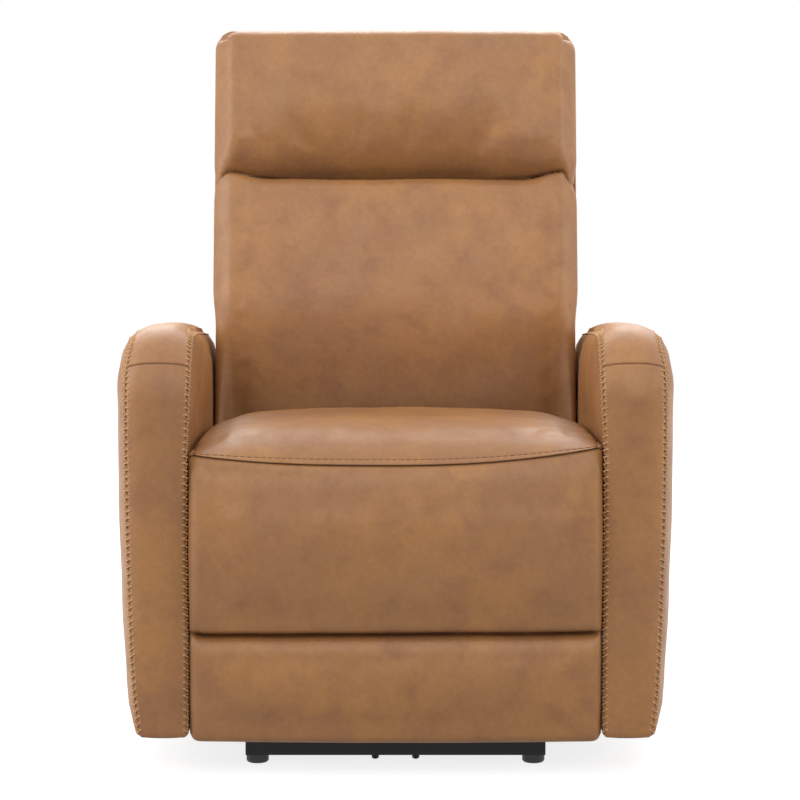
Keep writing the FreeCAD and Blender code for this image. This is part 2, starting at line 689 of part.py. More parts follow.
def back_stile():
    """Upright of the back frame on the +X side."""
    return lean(back_box(STILE_IN, STILE_OUT, FRAME_V, FRAME_V + FRAME_THICK, FRAME_LOW, FRAME_TOP - RAIL_HIGH))


def back_rails():
    """Cross rails of the back frame, and the blocks that the shell's sides are stapled to."""
    wide = PAD_HALF - SHELL_WALL
    lumbar = (FRAME_TOP + FRAME_LOW) / 2
    low = back_box(-STILE_IN, STILE_IN, FRAME_V, FRAME_V + FRAME_THICK, FRAME_LOW, FRAME_LOW + RAIL_HIGH)
    middle = back_box(-STILE_IN, STILE_IN, FRAME_V, FRAME_V + FRAME_THICK, lumbar, lumbar + RAIL_HIGH)
    top = back_box(-wide, wide, FRAME_V, FRAME_V + FRAME_THICK, FRAME_TOP - RAIL_HIGH, FRAME_TOP)
    block = lean(back_box(STILE_OUT, wide, FRAME_V, FRAME_V + FRAME_THICK, lumbar, lumbar + 3 * RAIL_HIGH))
    return Part.Compound([lean(low), lean(middle), lean(top), block, mirrored(block)])


def back_webbing():
    """Elastic straps across the stiles, behind the cushions."""
    straps = []
    count = 6
    span = FRAME_TOP - RAIL_HIGH - (FRAME_LOW + RAIL_HIGH)
    for index in range(count):
        w = FRAME_LOW + RAIL_HIGH + (index + 0.5) * span / count - WEBBING_WIDE / 2
        strap = back_box(-STILE_OUT, STILE_OUT, CUSHION_THICK, FRAME_V, w, w + WEBBING_WIDE)
        straps.append(lean(strap))
    return Part.Compound(straps)


def back_point(v, w):
    """The (y, z) of a point on the leaning back."""
    y = SEAT_DEPTH + v * math.cos(LEAN) + w * math.sin(LEAN)
    z = SEAT_REAR_HEIGHT - v * math.sin(LEAN) + w * math.cos(LEAN)
    return (y, z)


def back_bracket():
    """Steel bracket on the +X stile: an arm up the stile, the pivot eye and the lever to the bar."""
    strap = back_point(FRAME_V + FRAME_THICK / 2, 130)
    elbow = back_point(FRAME_V + FRAME_THICK / 2, FRAME_LOW + 20)
    plate = link([strap, elbow, BACK_PIVOT, BAR], LINK_IN, LINK_OUT, 30)
    return drilled(plate, [BACK_PIVOT], BACK_PIN_RADIUS + PIN_PLAY, LINK_IN, LINK_OUT)


def back_bar():
    """Drive bar between the two levers."""
    return rod_x(-LINK_IN, LINK_IN, BAR, BAR_RADIUS)


# ---------------------------------------------------------------- leg rest
def rest_block():
    """The leg rest's closed outline, rounded about its turning axis at the top."""
    outline = [
        (REST_FRONT, REST_BOTTOM),
        (REST_REAR, REST_BOTTOM),
        (REST_REAR, REST_TOP),
        (REST_FRONT, REST_TOP),
    ]
    block = prism_x(outline, -PAD_HALF, PAD_HALF)
    block = block.makeFillet(REST_RADIUS - 0.01, edges_x(block, [outline[3]]))
    block = block.makeFillet(REST_TOE_RADIUS, edges_x(block, [outline[0]]))
    return block.common(bowed_plan(PAD_HALF, REST_FRONT, REST_REAR, REST_BOW, 0, REST_TOP))


def rest_board_space():
    half = PAD_HALF - REST_MARGIN
    return box(
        -half, half, REST_REAR - REST_BOARD, REST_REAR, REST_BOTTOM + REST_MARGIN, REST_TOP - 2 * REST_MARGIN
    )


def rest_board():
    """Plywood board of the leg rest."""
    return rest_board_space()


def rest_pad(low, high):
    """One padded part of the leg rest, between two heights."""
    block = rest_block().cut(rest_board_space())
    return block.common(box(-PAD_HALF, PAD_HALF, 0, REST_REAR, low, high))


def rest_bracket():
    """Steel angle on the +X side of the board, with the two link pins."""
    p = shifted(REST_AXIS, PIN_P)
    q = shifted(REST_AXIS, PIN_Q)
    web = link([p, q], LINK_IN, LINK_OUT)
    low = q[1] - BRACKET_TAIL
    high = p[1] + LINK_WIDTH / 2
    fin = prism_x(
        [(REST_REAR, low), (p[0], q[1] - LINK_WIDTH), (p[0], high), (REST_REAR, high)], LINK_IN, LINK_OUT
    )
    flange = box(LINK_OUT - FLANGE, LINK_OUT, REST_REAR, REST_REAR + STEEL, low, high)
    shape = web.fuse(fin).fuse(flange).removeSplitter()
    for centre in (p, q):
        shape = shape.fuse(rivet(LINK_IN, STRAP_IN, centre))
    return shape


def front_link():
    """Front swing link on the +X side, with pins for both straps."""
    p = shifted(FRONT_CENTRE, PIN_P)
    q = shifted(FRONT_CENTRE, PIN_Q)
    shape = link([FRONT_CENTRE, p, q], LINK_IN, LINK_OUT)
    shape = drilled(shape, [FRONT_CENTRE], PIN_RADIUS + PIN_PLAY, LINK_IN, LINK_OUT)
    for centre in (p, q):
        shape = shape.fuse(rivet(LINK_IN, STRAP_IN, centre))
    return shape


def rear_link():
    """Rear swing link on the +X side, which the torque tube turns."""
    p = shifted(REAR_CENTRE, PIN_P)
    shape = link([REAR_CENTRE, p], LINK_IN, LINK_OUT, LINK_WIDTH + 4)
    shape = drilled(shape, [REAR_CENTRE], PIN_RADIUS + PIN_PLAY, LINK_IN, LINK_OUT)
    return shape.fuse(rivet(LINK_IN, STRAP_IN, p))


def upper_strap():
    """Strap that ties the rear link, the front link and the leg rest at their upper pins."""
    centres = [shifted(c, PIN_P) for c in (REAR_CENTRE, FRONT_CENTRE, REST_AXIS)]
    shape = link(centres, STRAP_IN, STRAP_OUT)
    return drilled(shape, centres, PIN_RADIUS + PIN_PLAY, STRAP_IN, STRAP_OUT)


def lower_strap():
    """Strap that ties the front link and the leg rest at their lower pins."""
    centres = [shifted(c, PIN_Q) for c in (FRONT_CENTRE, REST_AXIS)]
    shape = link(centres, STRAP_IN, STRAP_OUT)
    return drilled(shape, centres, PIN_RADIUS + PIN_PLAY, STRAP_IN, STRAP_OUT)


REST_PIN_ANGLE = math.radians(45)
REST_PIN = (
    REAR_CENTRE[0] + REST_CRANK * math.sin(REST_PIN_ANGLE),
    REAR_CENTRE[1] - REST_CRANK * math.cos(REST_PIN_ANGLE),
)
REST_RATIO = 0.925 * REST_CRANK  # the pusher's travel per radian of the leg rest
REST_SLOT_Y = REAR_CENTRE[0] + REST_RATIO * REST_PIN_ANGLE
REST_STROKE = 2 * REST_RATIO * REST_PIN_ANGLE
TONGUE_HALF = 6.0


def torque_tube():
    """Tube between the rear links, with the fork that the leg rest's drive pushes."""
    tube = rod_x(-LINK_IN, LINK_IN, REAR_CENTRE, TORQUE_RADIUS)
    tube = tube.cut(rod_x(-LINK_IN - 1, LINK_IN + 1, REAR_CENTRE, TORQUE_BORE))
    inner = TONGUE_HALF + 2
    for x in (REST_DRIVE_X - inner - 4, REST_DRIVE_X + inner):
        arm = capsule(REAR_CENTRE, REST_PIN, 24, x, x + 4)
        arm = arm.cut(rod_x(x - 1, x + 5, REAR_CENTRE, TORQUE_BORE))
        tube = tube.fuse(arm)
    pin = rod_x(REST_DRIVE_X - inner, REST_DRIVE_X + inner, REST_PIN, PIN_RADIUS)
    return tube.fuse(pin).removeSplitter()


# ---------------------------------------------------------------- carriage steel
def side_plate():
    """Pressed side plate on the +X side, with studs for both links and the back's pivot."""
    front = BOX_FRONT + 48
    waist = CROSS_Z + 125
    hip = REAR_RAIL_BOTTOM - 6
    outline = [
        (front, FRONT_CENTRE[1] - 50),
        (front + 152, FRONT_CENTRE[1] - 80),
        (FRONT_ROLLER_Y - 24, CROSS_Z),
        (FRONT_ROLLER_Y + 24, CROSS_Z),
        (FRONT_ROLLER_Y + 60, waist),
        (REAR_ROLLER_Y - 60, waist),
        (REAR_ROLLER_Y - 24, CROSS_Z),
        (REAR_ROLLER_Y + 24, CROSS_Z),
        (BACK_PIVOT[0] + 22, BACK_PIVOT[1]),
        (BACK_PIVOT[0] + 12, BACK_PIVOT[1] + 18),
        (BACK_PIVOT[0] - 14, BACK_PIVOT[1] + 18),
        (REAR_RAIL_Y + RAIL_THICK + 14, hip),
        (REAR_RAIL_Y - 20, hip),
        (REAR_RAIL_Y - 40, FRONT_RAIL_BOTTOM - 10),
        (front, FRONT_RAIL_BOTTOM - 6),
    ]
    plate = prism_x(outline, PLATE_IN, BOX_IN)
    windows = [
        shifted(FRONT_CENTRE, (65, -40)),
        shifted(REAR_CENTRE, (80, -50)),
        shifted(REAR_CENTRE, (132, -50)),
        shifted(BACK_PIVOT, (-45, -75)),
    ]
    plate = drilled(plate, windows, WINDOW_RADIUS, PLATE_IN, BOX_IN)
    for centre in (FRONT_CENTRE, REAR_CENTRE):
        plate = plate.fuse(rivet(PLATE_IN, LINK_IN, centre))
    return plate.fuse(rivet(PLATE_IN, LINK_IN, BACK_PIVOT, BACK_PIN_RADIUS))


def carriage_tube(y):
    """Cross tube of the carriage between the side plates, centred on a roller."""
    return tube_x(PLATE_IN, y - CROSS_TUBE / 2, CROSS_Z, CROSS_TUBE, 2)


def roller_hanger(y):
    """Plate below the cross tube that carries one roller's axle, on the +X side."""
    outline = [(y - 20, CROSS_Z), (y - 12, ROLLER_Z - 11), (y + 12, ROLLER_Z - 11), (y + 20, CROSS_Z)]
    plate = prism_x(outline, HANGER_IN, HANGER_IN + 4)
    return drilled(plate, [(y, ROLLER_Z)], AXLE_RADIUS + PIN_PLAY, HANGER_IN, HANGER_IN + 4)


def roller(y):
    """Roller and its axle on the +X side."""
    inner = CHANNEL_IN + STEEL + 3
    wheel = rod_x(inner, inner + ROLLER_WIDE, (y, ROLLER_Z), ROLLER_RADIUS)
    axle = rod_x(inner + ROLLER_WIDE, HANGER_IN + 4 + 2, (y, ROLLER_Z), AXLE_RADIUS)
    head = rod_x(HANGER_IN + 4 + 0.3, HANGER_IN + 4 + 3, (y, ROLLER_Z), AXLE_RADIUS + 3)
    return wheel.fuse(axle).fuse(head)


# ---------------------------------------------------------------- floor base
def base_tube(y):
    return tube_x(BASE_HALF, y, GLIDE_HEIGHT, TUBE, TUBE_WALL)


def channel():
    """C-channel that the rollers run in, open outwards, on the +X side."""
    outer = box(CHANNEL_IN, CHANNEL_OUT, BASE_FRONT, BASE_REAR, CHANNEL_Z, CHANNEL_Z + CHANNEL_HIGH)
    inner = box(
        CHANNEL_IN + STEEL,
        CHANNEL_OUT + 1,
        BASE_FRONT - 1,
        BASE_REAR + 1,
        CHANNEL_Z + STEEL,
        CHANNEL_Z + CHANNEL_HIGH - STEEL,
    )
    return outer.cut(inner)


def glides():
    """Four round plastic feet under the ends of the cross tubes."""
    feet = []
    for x in (-GLIDE_X, GLIDE_X):
        for y in (BASE_FRONT + TUBE / 2 + 5, BASE_REAR - TUBE / 2):
            foot = rod_z(0, GLIDE_HEIGHT, x, y, GLIDE_RADIUS)
            rim = min(foot.Edges, key=lambda e: e.CenterOfMass.z)
            feet.append(foot.makeChamfer(2, [rim]))
    return Part.Compound(feet)


def drive_bracket():
    """Steel stand on the front cross tube that holds the recline motor."""
    half = BOLT_SPACING / 2 + 3 * BOLT_RADIUS
    y0 = BASE_FRONT
    y1 = BASE_FRONT + TUBE
    top = TRACK_Z + BRACKET_HIGH
    foot = box(-half, half, y0, y1, CHANNEL_Z, CHANNEL_Z + STEEL)
    outline = [
        (y0, CHANNEL_Z),
        (y1, CHANNEL_Z),
        (y1 + BRACKET_SETBACK, TRACK_Z),
        (y1 + BRACKET_SETBACK, top),
        (y0 + BRACKET_SETBACK, top),
    ]
    stand = prism_x(outline, -STEEL / 2, STEEL / 2)
    pad = box(-BRACKET_PAD, BRACKET_PAD, y1 + BRACKET_SETBACK, DRIVE_FRONT, TRACK_Z, top)
    shape = foot.fuse(stand).fuse(pad)
    for x in (-BOLT_SPACING / 2, BOLT_SPACING / 2):
        shape = shape.cut(rod_z(CHANNEL_Z - 1, CHANNEL_Z + STEEL + 1, x, (y0 + y1) / 2, BOLT_RADIUS + PIN_PLAY))
    return shape


def bracket_bolts():
    """Bolts through the front tube; their nuts show under it."""
    y = BASE_FRONT + TUBE / 2
    bolts = []
    for x in (-BOLT_SPACING / 2, BOLT_SPACING / 2):
        shank = rod_z(GLIDE_HEIGHT - 7, CHANNEL_Z + STEEL, x, y, BOLT_RADIUS)
        head = rod_z(CHANNEL_Z + STEEL, CHANNEL_Z + STEEL + 4, x, y, BOLT_RADIUS * 2)
        washer = rod_z(GLIDE_HEIGHT - 1.5, GLIDE_HEIGHT, x, y, 6.5)
        nut = hexagon(x, y, GLIDE_HEIGHT - 6, GLIDE_HEIGHT - 1.5, 5)
        bolts.append(shank.fuse(head).fuse(washer).fuse(nut))
    return Part.Compound(bolts)


def hexagon(x, y, z0, z1, radius):
    """A hexagonal nut, as a plain prism."""
    corners = [
        Vector(x + radius * math.cos(math.radians(60 * k)), y + radius * math.sin(math.radians(60 * k)), z0)
        for k in range(6)
    ]
    return Part.Face(Part.makePolygon(corners + corners[:1])).extrude(Vector(0, 0, z1 - z0))


def bolted_tube():
    """The front cross tube, drilled for the bracket's bolts."""
    tube = base_tube(BASE_FRONT)
    for x in (-BOLT_SPACING / 2, BOLT_SPACING / 2):
        hole = rod_z(GLIDE_HEIGHT - 1, CHANNEL_Z + 1, x, BASE_FRONT + TUBE / 2, BOLT_RADIUS + PIN_PLAY)
        tube = tube.cut(hole)
    return tube


# ---------------------------------------------------------------- drives
DRIVE_FRONT = BASE_FRONT + TUBE + BRACKET_SETBACK + STEEL
GEARBOX = 62.0
GEARBOX_WIDE = 48.0
MOTOR_RADIUS = 20.0
MOTOR_LONG = 96.0
TRACK_START = DRIVE_FRONT + GEARBOX
TRACK_END = BAR[0] + 30


def drive_motor(front, x, z, side):
    """Gearbox with its motor lying across the chair; side is +1 or -1."""
    half = GEARBOX_WIDE / 2
    case = box(x - half, x + half, front, front + GEARBOX, z - 8, z + TRACK_HIGH + 16)
    uprights = [e for e in case.Edges if abs(e.Vertexes[0].Z - e.Vertexes[-1].Z) > 1]
    case = case.makeFillet(8, uprights)
    centre = (front + GEARBOX / 2, z + TRACK_HIGH / 2)
    start = x + side * half
    ends = sorted((start, start + side * MOTOR_LONG))
    can = rod_x(ends[0], ends[1], centre, MOTOR_RADIUS)
    return case.fuse(can)


def recline_track():
    """Steel channel of the recline drive, with its lead screw and rear end plate."""
    half = TRACK_WIDE / 2
    outer = box(-half, half, TRACK_START, TRACK_END, TRACK_Z, TRACK_Z + TRACK_HIGH)
    inner = box(
        -half + TRACK_WALL,
        half - TRACK_WALL,
        TRACK_START - 1,
        TRACK_END - 4,
        TRACK_Z + TRACK_WALL,
        TRACK_Z + TRACK_HIGH + 1,
    )
    return outer.cut(inner)


def recline_screw():
    return rod_y(TRACK_START, TRACK_END - 4, 0, TRACK_Z + TRACK_HIGH / 2, SCREW_RADIUS)


def track_stand():
    """Post from the rear cross tube to the track's rear end."""
    y0 = BASE_REAR - TUBE
    foot = box(-TRACK_WIDE, TRACK_WIDE, y0, BASE_REAR, CHANNEL_Z, CHANNEL_Z + STEEL)
    post = box(-STEEL, STEEL, y0, BASE_REAR, CHANNEL_Z, TRACK_Z - STEEL)
    top = box(-TRACK_WIDE / 2, TRACK_WIDE / 2, y0, BASE_REAR, TRACK_Z - STEEL, TRACK_Z)
    return foot.fuse(post).fuse(top)


def recline_slider():
    """Nut block in the track, with a slotted head round the back's drive bar."""
    half = TRACK_WIDE / 2 - TRACK_WALL - 0.5
    z_nut = TRACK_Z + TRACK_WALL + 0.5
    block = box(-half, half, BAR[0] - 22, BAR[0] + 22, z_nut, TRACK_Z + TRACK_HIGH + 1)
    sink = LEVER * (1 - math.cos(LEVER_ANGLE))
    low = BAR[1] - sink - BAR_RADIUS - 0.6
    high = BAR[1] + BAR_RADIUS + 0.6
    head = box(-half, half, BAR[0] - 18, BAR[0] + 18, TRACK_Z + TRACK_HIGH + 1, high + 7)
    wide = BAR_RADIUS + 0.6
    slot = box(-half - 1, half + 1, BAR[0] - wide, BAR[0] + wide, low, high)
    bore = rod_y(BAR[0] - 30, BAR[0] + 30, 0, TRACK_Z + TRACK_HIGH / 2, SCREW_RADIUS + PIN_PLAY)
    return block.fuse(head).cut(slot).cut(bore)


REST_TRACK_START = REST_SLOT_Y + 22
REST_TRACK_END = REST_TRACK_START + REST_STROKE + 42
REST_TRACK_Z = REST_PIN[1] - TRACK_HIGH / 2 - 4


def rest_track():
    """Channel of the leg rest's drive, under the seat box."""
    half = TRACK_WIDE / 2
    x = REST_DRIVE_X
    outer = box(x - half, x + half, REST_TRACK_START, REST_TRACK_END, REST_TRACK_Z, REST_TRACK_Z + TRACK_HIGH)
    inner = box(
        x - half + TRACK_WALL,
        x + half - TRACK_WALL,
        REST_TRACK_START - 1,
        REST_TRACK_END + 1,
        REST_TRACK_Z + TRACK_WALL,
        REST_TRACK_Z + TRACK_HIGH + 1,
    )
    return outer.cut(inner)


def rest_hanger():
    """Steel yoke from the seat box's rear rail over the leg rest's gearbox."""
    x = REST_DRIVE_X
    end = REST_TRACK_END + GEARBOX - 20
    half = GEARBOX_WIDE / 2
    y0 = min(REAR_RAIL_Y, end - 30)
    y1 = max(REAR_RAIL_Y + RAIL_THICK, end)
    top = box(x - half - STEEL, x + half + STEEL, y0, y1, REAR_RAIL_BOTTOM - STEEL, REAR_RAIL_BOTTOM)
    low = REST_TRACK_Z + TRACK_HIGH / 2 + MOTOR_RADIUS + FIT_GAP
    shape = top
    for side in (x - half - STEEL, x + half):
        ear = box(side, side + STEEL, end - 30, end, low, REAR_RAIL_BOTTOM - STEEL)
        shape = shape.fuse(ear)
    return shape.removeSplitter()


def rest_pusher():
    """Sliding block with a tongue; the fork's pin rides in the upright slot at its tip."""
    x = REST_DRIVE_X
    half = TRACK_WIDE / 2 - TRACK_WALL - 0.5
    y1 = REST_TRACK_END - 3
    y0 = y1 - 34
    block = box(x - half, x + half, y0, y1, REST_TRACK_Z + TRACK_WALL + 0.5, REST_TRACK_Z + TRACK_HIGH - 1)
    low = REAR_CENTRE[1] - REST_CRANK - PIN_RADIUS - SLOT_PLAY
    high = REST_PIN[1] + PIN_RADIUS + SLOT_PLAY
    tongue = box(x - TONGUE_HALF, x + TONGUE_HALF, REST_SLOT_Y - 14, y0, low - 6, high + 6)
    shorter = box(
        x - TONGUE_HALF - 1, x + TONGUE_HALF + 1, REST_TRACK_START - 6, y0, low - 7, REST_TRACK_Z + TRACK_WALL + 0.5
    )
    wide = PIN_RADIUS + SLOT_PLAY
    slot = box(x - TONGUE_HALF - 1, x + TONGUE_HALF + 1, REST_SLOT_Y - wide, REST_SLOT_Y + wide, low, high)
    return block.fuse(tongue.cut(shorter)).cut(slot)


# ---------------------------------------------------------------- all nodes
def model():
    """Every node's name and shape, at rest."""
    pocket = switch_pocket()
    cover = arm_cover()
    frame = arm_frame()
    nodes = {
        "base_front_tube": bolted_tube(),
        "base_rear_tube": base_tube(BASE_REAR - TUBE),
        "floor_glides": glides(),
        "motor_bracket": drive_bracket(),
        "motor_bracket_bolts": bracket_bolts(),
        "recline_motor": drive_motor(DRIVE_FRONT, 0, TRACK_Z, 1),
        "recline_track": recline_track(),
        "recline_screw": recline_screw(),
        "track_stand": track_stand(),
        "recline_slider": recline_slider(),
        "arm_cover_right": cover,
        "arm_frame_right": frame,
        "arm_cover_left": mirrored(cover.cut(pocket)),
        "arm_frame_left": mirrored(frame.cut(pocket)),
        "arm_bolts": arm_bolts(),
        "switch_box": mirrored(switch_box()),
        "seat_cushion": seat_cushion(),
        "seat_box_rails": seat_box_rails(),
        "seat_springs": seat_springs(),
        "carriage_tube_front": carriage_tube(FRONT_ROLLER_Y),
        "carriage_tube_rear": carriage_tube(REAR_ROLLER_Y),
        "rest_drive_track": rest_track(),
        "rest_drive_motor": drive_motor(REST_TRACK_END, REST_DRIVE_X, REST_TRACK_Z, -1),
        "rest_drive_hanger": rest_hanger(),
        "rest_pusher": rest_pusher(),
        "torque_tube": torque_tube(),
        "leg_rest_board": rest_board(),
        "leg_rest_pad_upper": rest_pad(REST_CREASE + FIT_GAP, REST_TOP),
        "leg_rest_pad_lower": rest_pad(REST_BOTTOM, REST_CREASE),
        "back_cushion": back_cushion(),
        "head_cushion": head_cushion(),
        "outer_back": outer_back(),
        "back_rails": back_rails(),
        "back_webbing": back_webbing(),
        "back_drive_bar": back_bar(),
    }
    for name, centre in zip(("button_recline", "button_return"), switch_buttons_at()):
        nodes[name] = mirrored(switch_button(centre))
    pairs = {
        "base_channel": channel(),
        "seat_box_side": box_side(),
        "side_plate": side_plate(),
        "back_stile": back_stile(),
        "back_bracket": back_bracket(),
        "rest_bracket": rest_bracket(),
        "front_link": front_link(),
        "rear_link": rear_link(),
        "upper_strap": upper_strap(),
        "lower_strap": lower_strap(),
    }
    for name, shape in pairs.items():
        nodes[name + "_right"] = shape
        nodes[name + "_left"] = mirrored(shape)
    hangers = []
    for name, y in (("front", FRONT_ROLLER_Y), ("rear", REAR_ROLLER_Y)):
        hangers += [roller_hanger(y), mirrored(roller_hanger(y))]
        nodes["rollers_" + name] = Part.Compound([roller(y), mirrored(roller(y))])
    nodes["roller_hangers"] = Part.Compound(hangers)
    return nodes


def main():
    os.makedirs("parts", exist_ok=True)
    for name, shape in model().items():
        export_node(name, shape)


main()
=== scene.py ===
# %% [markdown]
# # A wall hugger recliner in tan leather
# This chair stands close to a wall. Its arms, seat and back roll forward on a steel base while
# the back goes down, and the front panel swings up as a leg rest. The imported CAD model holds
# the steel, the wood and the joints. This lesson dresses it: leather covers with their seams
# and threads, and finishes for the steel, wood and plastic that stay in sight. The frame is
# loaded first, so every piece is made in its place and nothing has to be fitted afterwards.

# %% Load the frame
import json
import math

import bpy
import numpy as np
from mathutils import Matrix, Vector


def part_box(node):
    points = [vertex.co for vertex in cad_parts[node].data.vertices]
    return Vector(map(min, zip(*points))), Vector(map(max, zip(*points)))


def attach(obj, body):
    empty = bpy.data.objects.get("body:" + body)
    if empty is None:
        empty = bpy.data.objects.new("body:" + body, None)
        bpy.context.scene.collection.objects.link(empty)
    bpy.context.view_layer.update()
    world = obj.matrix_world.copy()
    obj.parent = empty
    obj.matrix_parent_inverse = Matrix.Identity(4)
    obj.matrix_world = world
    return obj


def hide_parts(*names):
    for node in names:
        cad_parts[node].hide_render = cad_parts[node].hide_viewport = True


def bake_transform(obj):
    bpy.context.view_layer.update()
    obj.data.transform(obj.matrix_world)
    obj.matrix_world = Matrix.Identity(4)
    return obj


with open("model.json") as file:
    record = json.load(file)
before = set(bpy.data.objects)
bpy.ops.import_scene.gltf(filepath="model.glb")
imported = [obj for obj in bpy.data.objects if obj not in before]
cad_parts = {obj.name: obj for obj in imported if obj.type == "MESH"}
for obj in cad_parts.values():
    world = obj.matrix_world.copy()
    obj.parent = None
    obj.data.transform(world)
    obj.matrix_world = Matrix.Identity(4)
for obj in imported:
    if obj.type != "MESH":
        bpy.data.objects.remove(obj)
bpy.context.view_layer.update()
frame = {"nodes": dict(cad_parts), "record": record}

# %% [markdown]
# An upholsterer measures in millimetres from the front of the chair, so the shapes below do
# too: X across, Y back from the front plane, Z up from the floor. One function turns such
# points into the frame's metres when a mesh is made.

# %% Millimetres to the frame
REST_FRONT = 2.0  # the leg rest's front, behind the plane that Y is measured from
ZERO_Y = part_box("leg_rest_pad_lower")[0].y - REST_FRONT / 1000


def metres(points):
    """Millimetre points as metres in the frame."""
    placed = np.array(points, float) / 1000
    placed[..., 1] += ZERO_Y
    return placed


print("front plane at y =", round(ZERO_Y, 4), "m")

# %% [markdown]
# A camera can be aimed by eye, but a known place makes the proportions easy to check. This one
# stands 3.3 m in front of the chair, 0.86 m up, and looks 6 degrees down. Its long lens keeps
# the arms upright and the back square, and a small shift frames the chair without turning it.

# %% Camera
DISTANCE, EYE_HEIGHT, LOOK_DOWN = 3.3, 0.86, 6
scene = bpy.context.scene
scene.view_settings.view_transform = "Standard"
camera_data = bpy.data.cameras.new("camera")
camera_data.lens = 112.5
camera_data.sensor_width = 36
camera_data.shift_x = 4.5 / 800  # the chair stands 4.5 of 800 pixels left of the middle
camera = bpy.data.objects.new("camera", camera_data)
camera.location = (0, ZERO_Y - DISTANCE, EYE_HEIGHT)
camera.rotation_euler = (math.radians(90 - LOOK_DOWN), 0, 0)
scene.collection.objects.link(camera)
scene.camera = camera
print("camera at", [round(c, 2) for c in camera.location], "with a", camera_data.lens, "mm lens")

# %% [markdown]
# Finishes are matched on a screen, so their colours are written as sRGB hex codes, and one
# function turns a code into the linear light that shaders work with. A material is a tree of
# nodes. Each node could be added in three or four lines, and one small function does it in
# one: its settings, its values and its links together.

# %% Colours and nodes
FACTOR, FIRST, SECOND, MIXED = 0, 6, 7, 2  # a colour Mix: its three inputs and its output
WHITE = (1, 1, 1, 1)


def linear(code):
    """An sRGB hex colour as linear RGBA."""
    channels = [int(code[i : i + 2], 16) / 255 for i in (1, 3, 5)]
    lit = [c / 12.92 if c <= 0.04045 else ((c + 0.055) / 1.055) ** 2.4 for c in channels]
    return lit + [1.0]


def add(tree, kind, inputs=None, **settings):
    """Adds a node. Inputs are sockets to link or values to set, settings are its own fields."""
    made = tree.nodes.new("ShaderNode" + kind)
    for name, value in settings.items():
        setattr(made, name, value)
    for name, value in (inputs or {}).items():
        if isinstance(value, bpy.types.NodeSocket):
            tree.links.new(value, made.inputs[name])
        else:
            made.inputs[name].default_value = value
    return made


def new_material(name):
    """An empty node material and its tree."""
    material = bpy.data.materials.new(name)
    material.use_nodes = True
    material.node_tree.nodes.clear()
    return material, material.node_tree


print("mid grey #808080 is", round(linear("#808080")[0], 3), "in linear light")

# %% [markdown]
# A studio floor is painted pale and runs on out of sight. Lighting it until it turns white
# would bleach the chair too. So this floor glows a little by itself where it is seen, more
# away from the chair, and keeps the shadow under it. The light that it throws back onto the
# chair is that of a plain grey floor. Light Path tells the two kinds of ray apart.

# %% Floor
FLOOR_REACH = 12.0  # metres each way


def seen_directly(tree):
    """1 for rays from the camera, a gloss or a glass, 0 for light on its way to the chair."""
    rays = add(tree, "LightPath").outputs
    seen = rays["Is Camera Ray"]
    for kind in ("Is Glossy Ray", "Is Transmission Ray"):
        seen = add(tree, "Math", {0: seen, 1: rays[kind]}, operation="MAXIMUM").outputs[0]
    return seen


floor_mesh = bpy.data.meshes.new("floor")
corners = ((-1, -1), (1, -1), (1, 1), (-1, 1))
floor_corners = [(x * FLOOR_REACH, y * FLOOR_REACH, 0) for x, y in corners]
floor_mesh.from_pydata(floor_corners, [], [(0, 1, 2, 3)])
floor = bpy.data.objects.new("floor", floor_mesh)
scene.collection.objects.link(floor)
material, tree = new_material("pale_floor")
lit = add(tree, "BsdfDiffuse", {"Color": linear("#A9A7A5")})
place = add(tree, "TexCoord").outputs["Object"]
away = add(tree, "VectorMath", {0: place}, operation="LENGTH")
paler = add(tree, "MapRange", {
    "Value": away.outputs["Value"], "From Min": 0.7, "From Max": 1.8, "To Min": 0.82, "To Max": 1.0,
})
pale = add(tree, "BsdfDiffuse", {"Color": linear("#969696")})
glow = add(tree, "Emission", {"Color": WHITE, "Strength": paler.outputs[0]})
bright = add(tree, "AddShader", {0: pale.outputs[0], 1: glow.outputs[0]})
both = add(tree, "MixShader", {0: seen_directly(tree), 1: lit.outputs[0], 2: bright.outputs[0]})
add(tree, "OutputMaterial", {"Surface": both.outputs[0]})
floor_mesh.materials.append(material)
print("floor", 2 * FLOOR_REACH, "m wide")

# %% [markdown]
# Around the floor stands a white surround. A white world would be the simplest, but it lights
# the chair from all sides and flattens its folds. This one is white where it is looked at or
# mirrored, and dark for the light on the leather, so the lamps alone shape the chair.

# %% Surround
world = bpy.data.worlds.new("surround")
scene.world = world
world.use_nodes = True
tree = world.node_tree
tree.nodes.clear()
dark = add(tree, "Background", {"Color": WHITE, "Strength": 0.0})
white = add(tree, "Background", {"Color": WHITE, "Strength": 1.0})
both = add(tree, "MixShader", {0: seen_directly(tree), 1: dark.outputs[0], 2: white.outputs[0]})
add(tree, "OutputWorld", {"Surface": both.outputs[0]})
print("surround nodes:", len(tree.nodes))

# %% [markdown]
# Furniture is lit with large soft boxes, because leather shows small lamps as hard glints.
# Area lamps do the same here. The high front one is the key, the rear one lights the back and
# draws the crest of the arms, and the left one is stronger than the right, for shape.

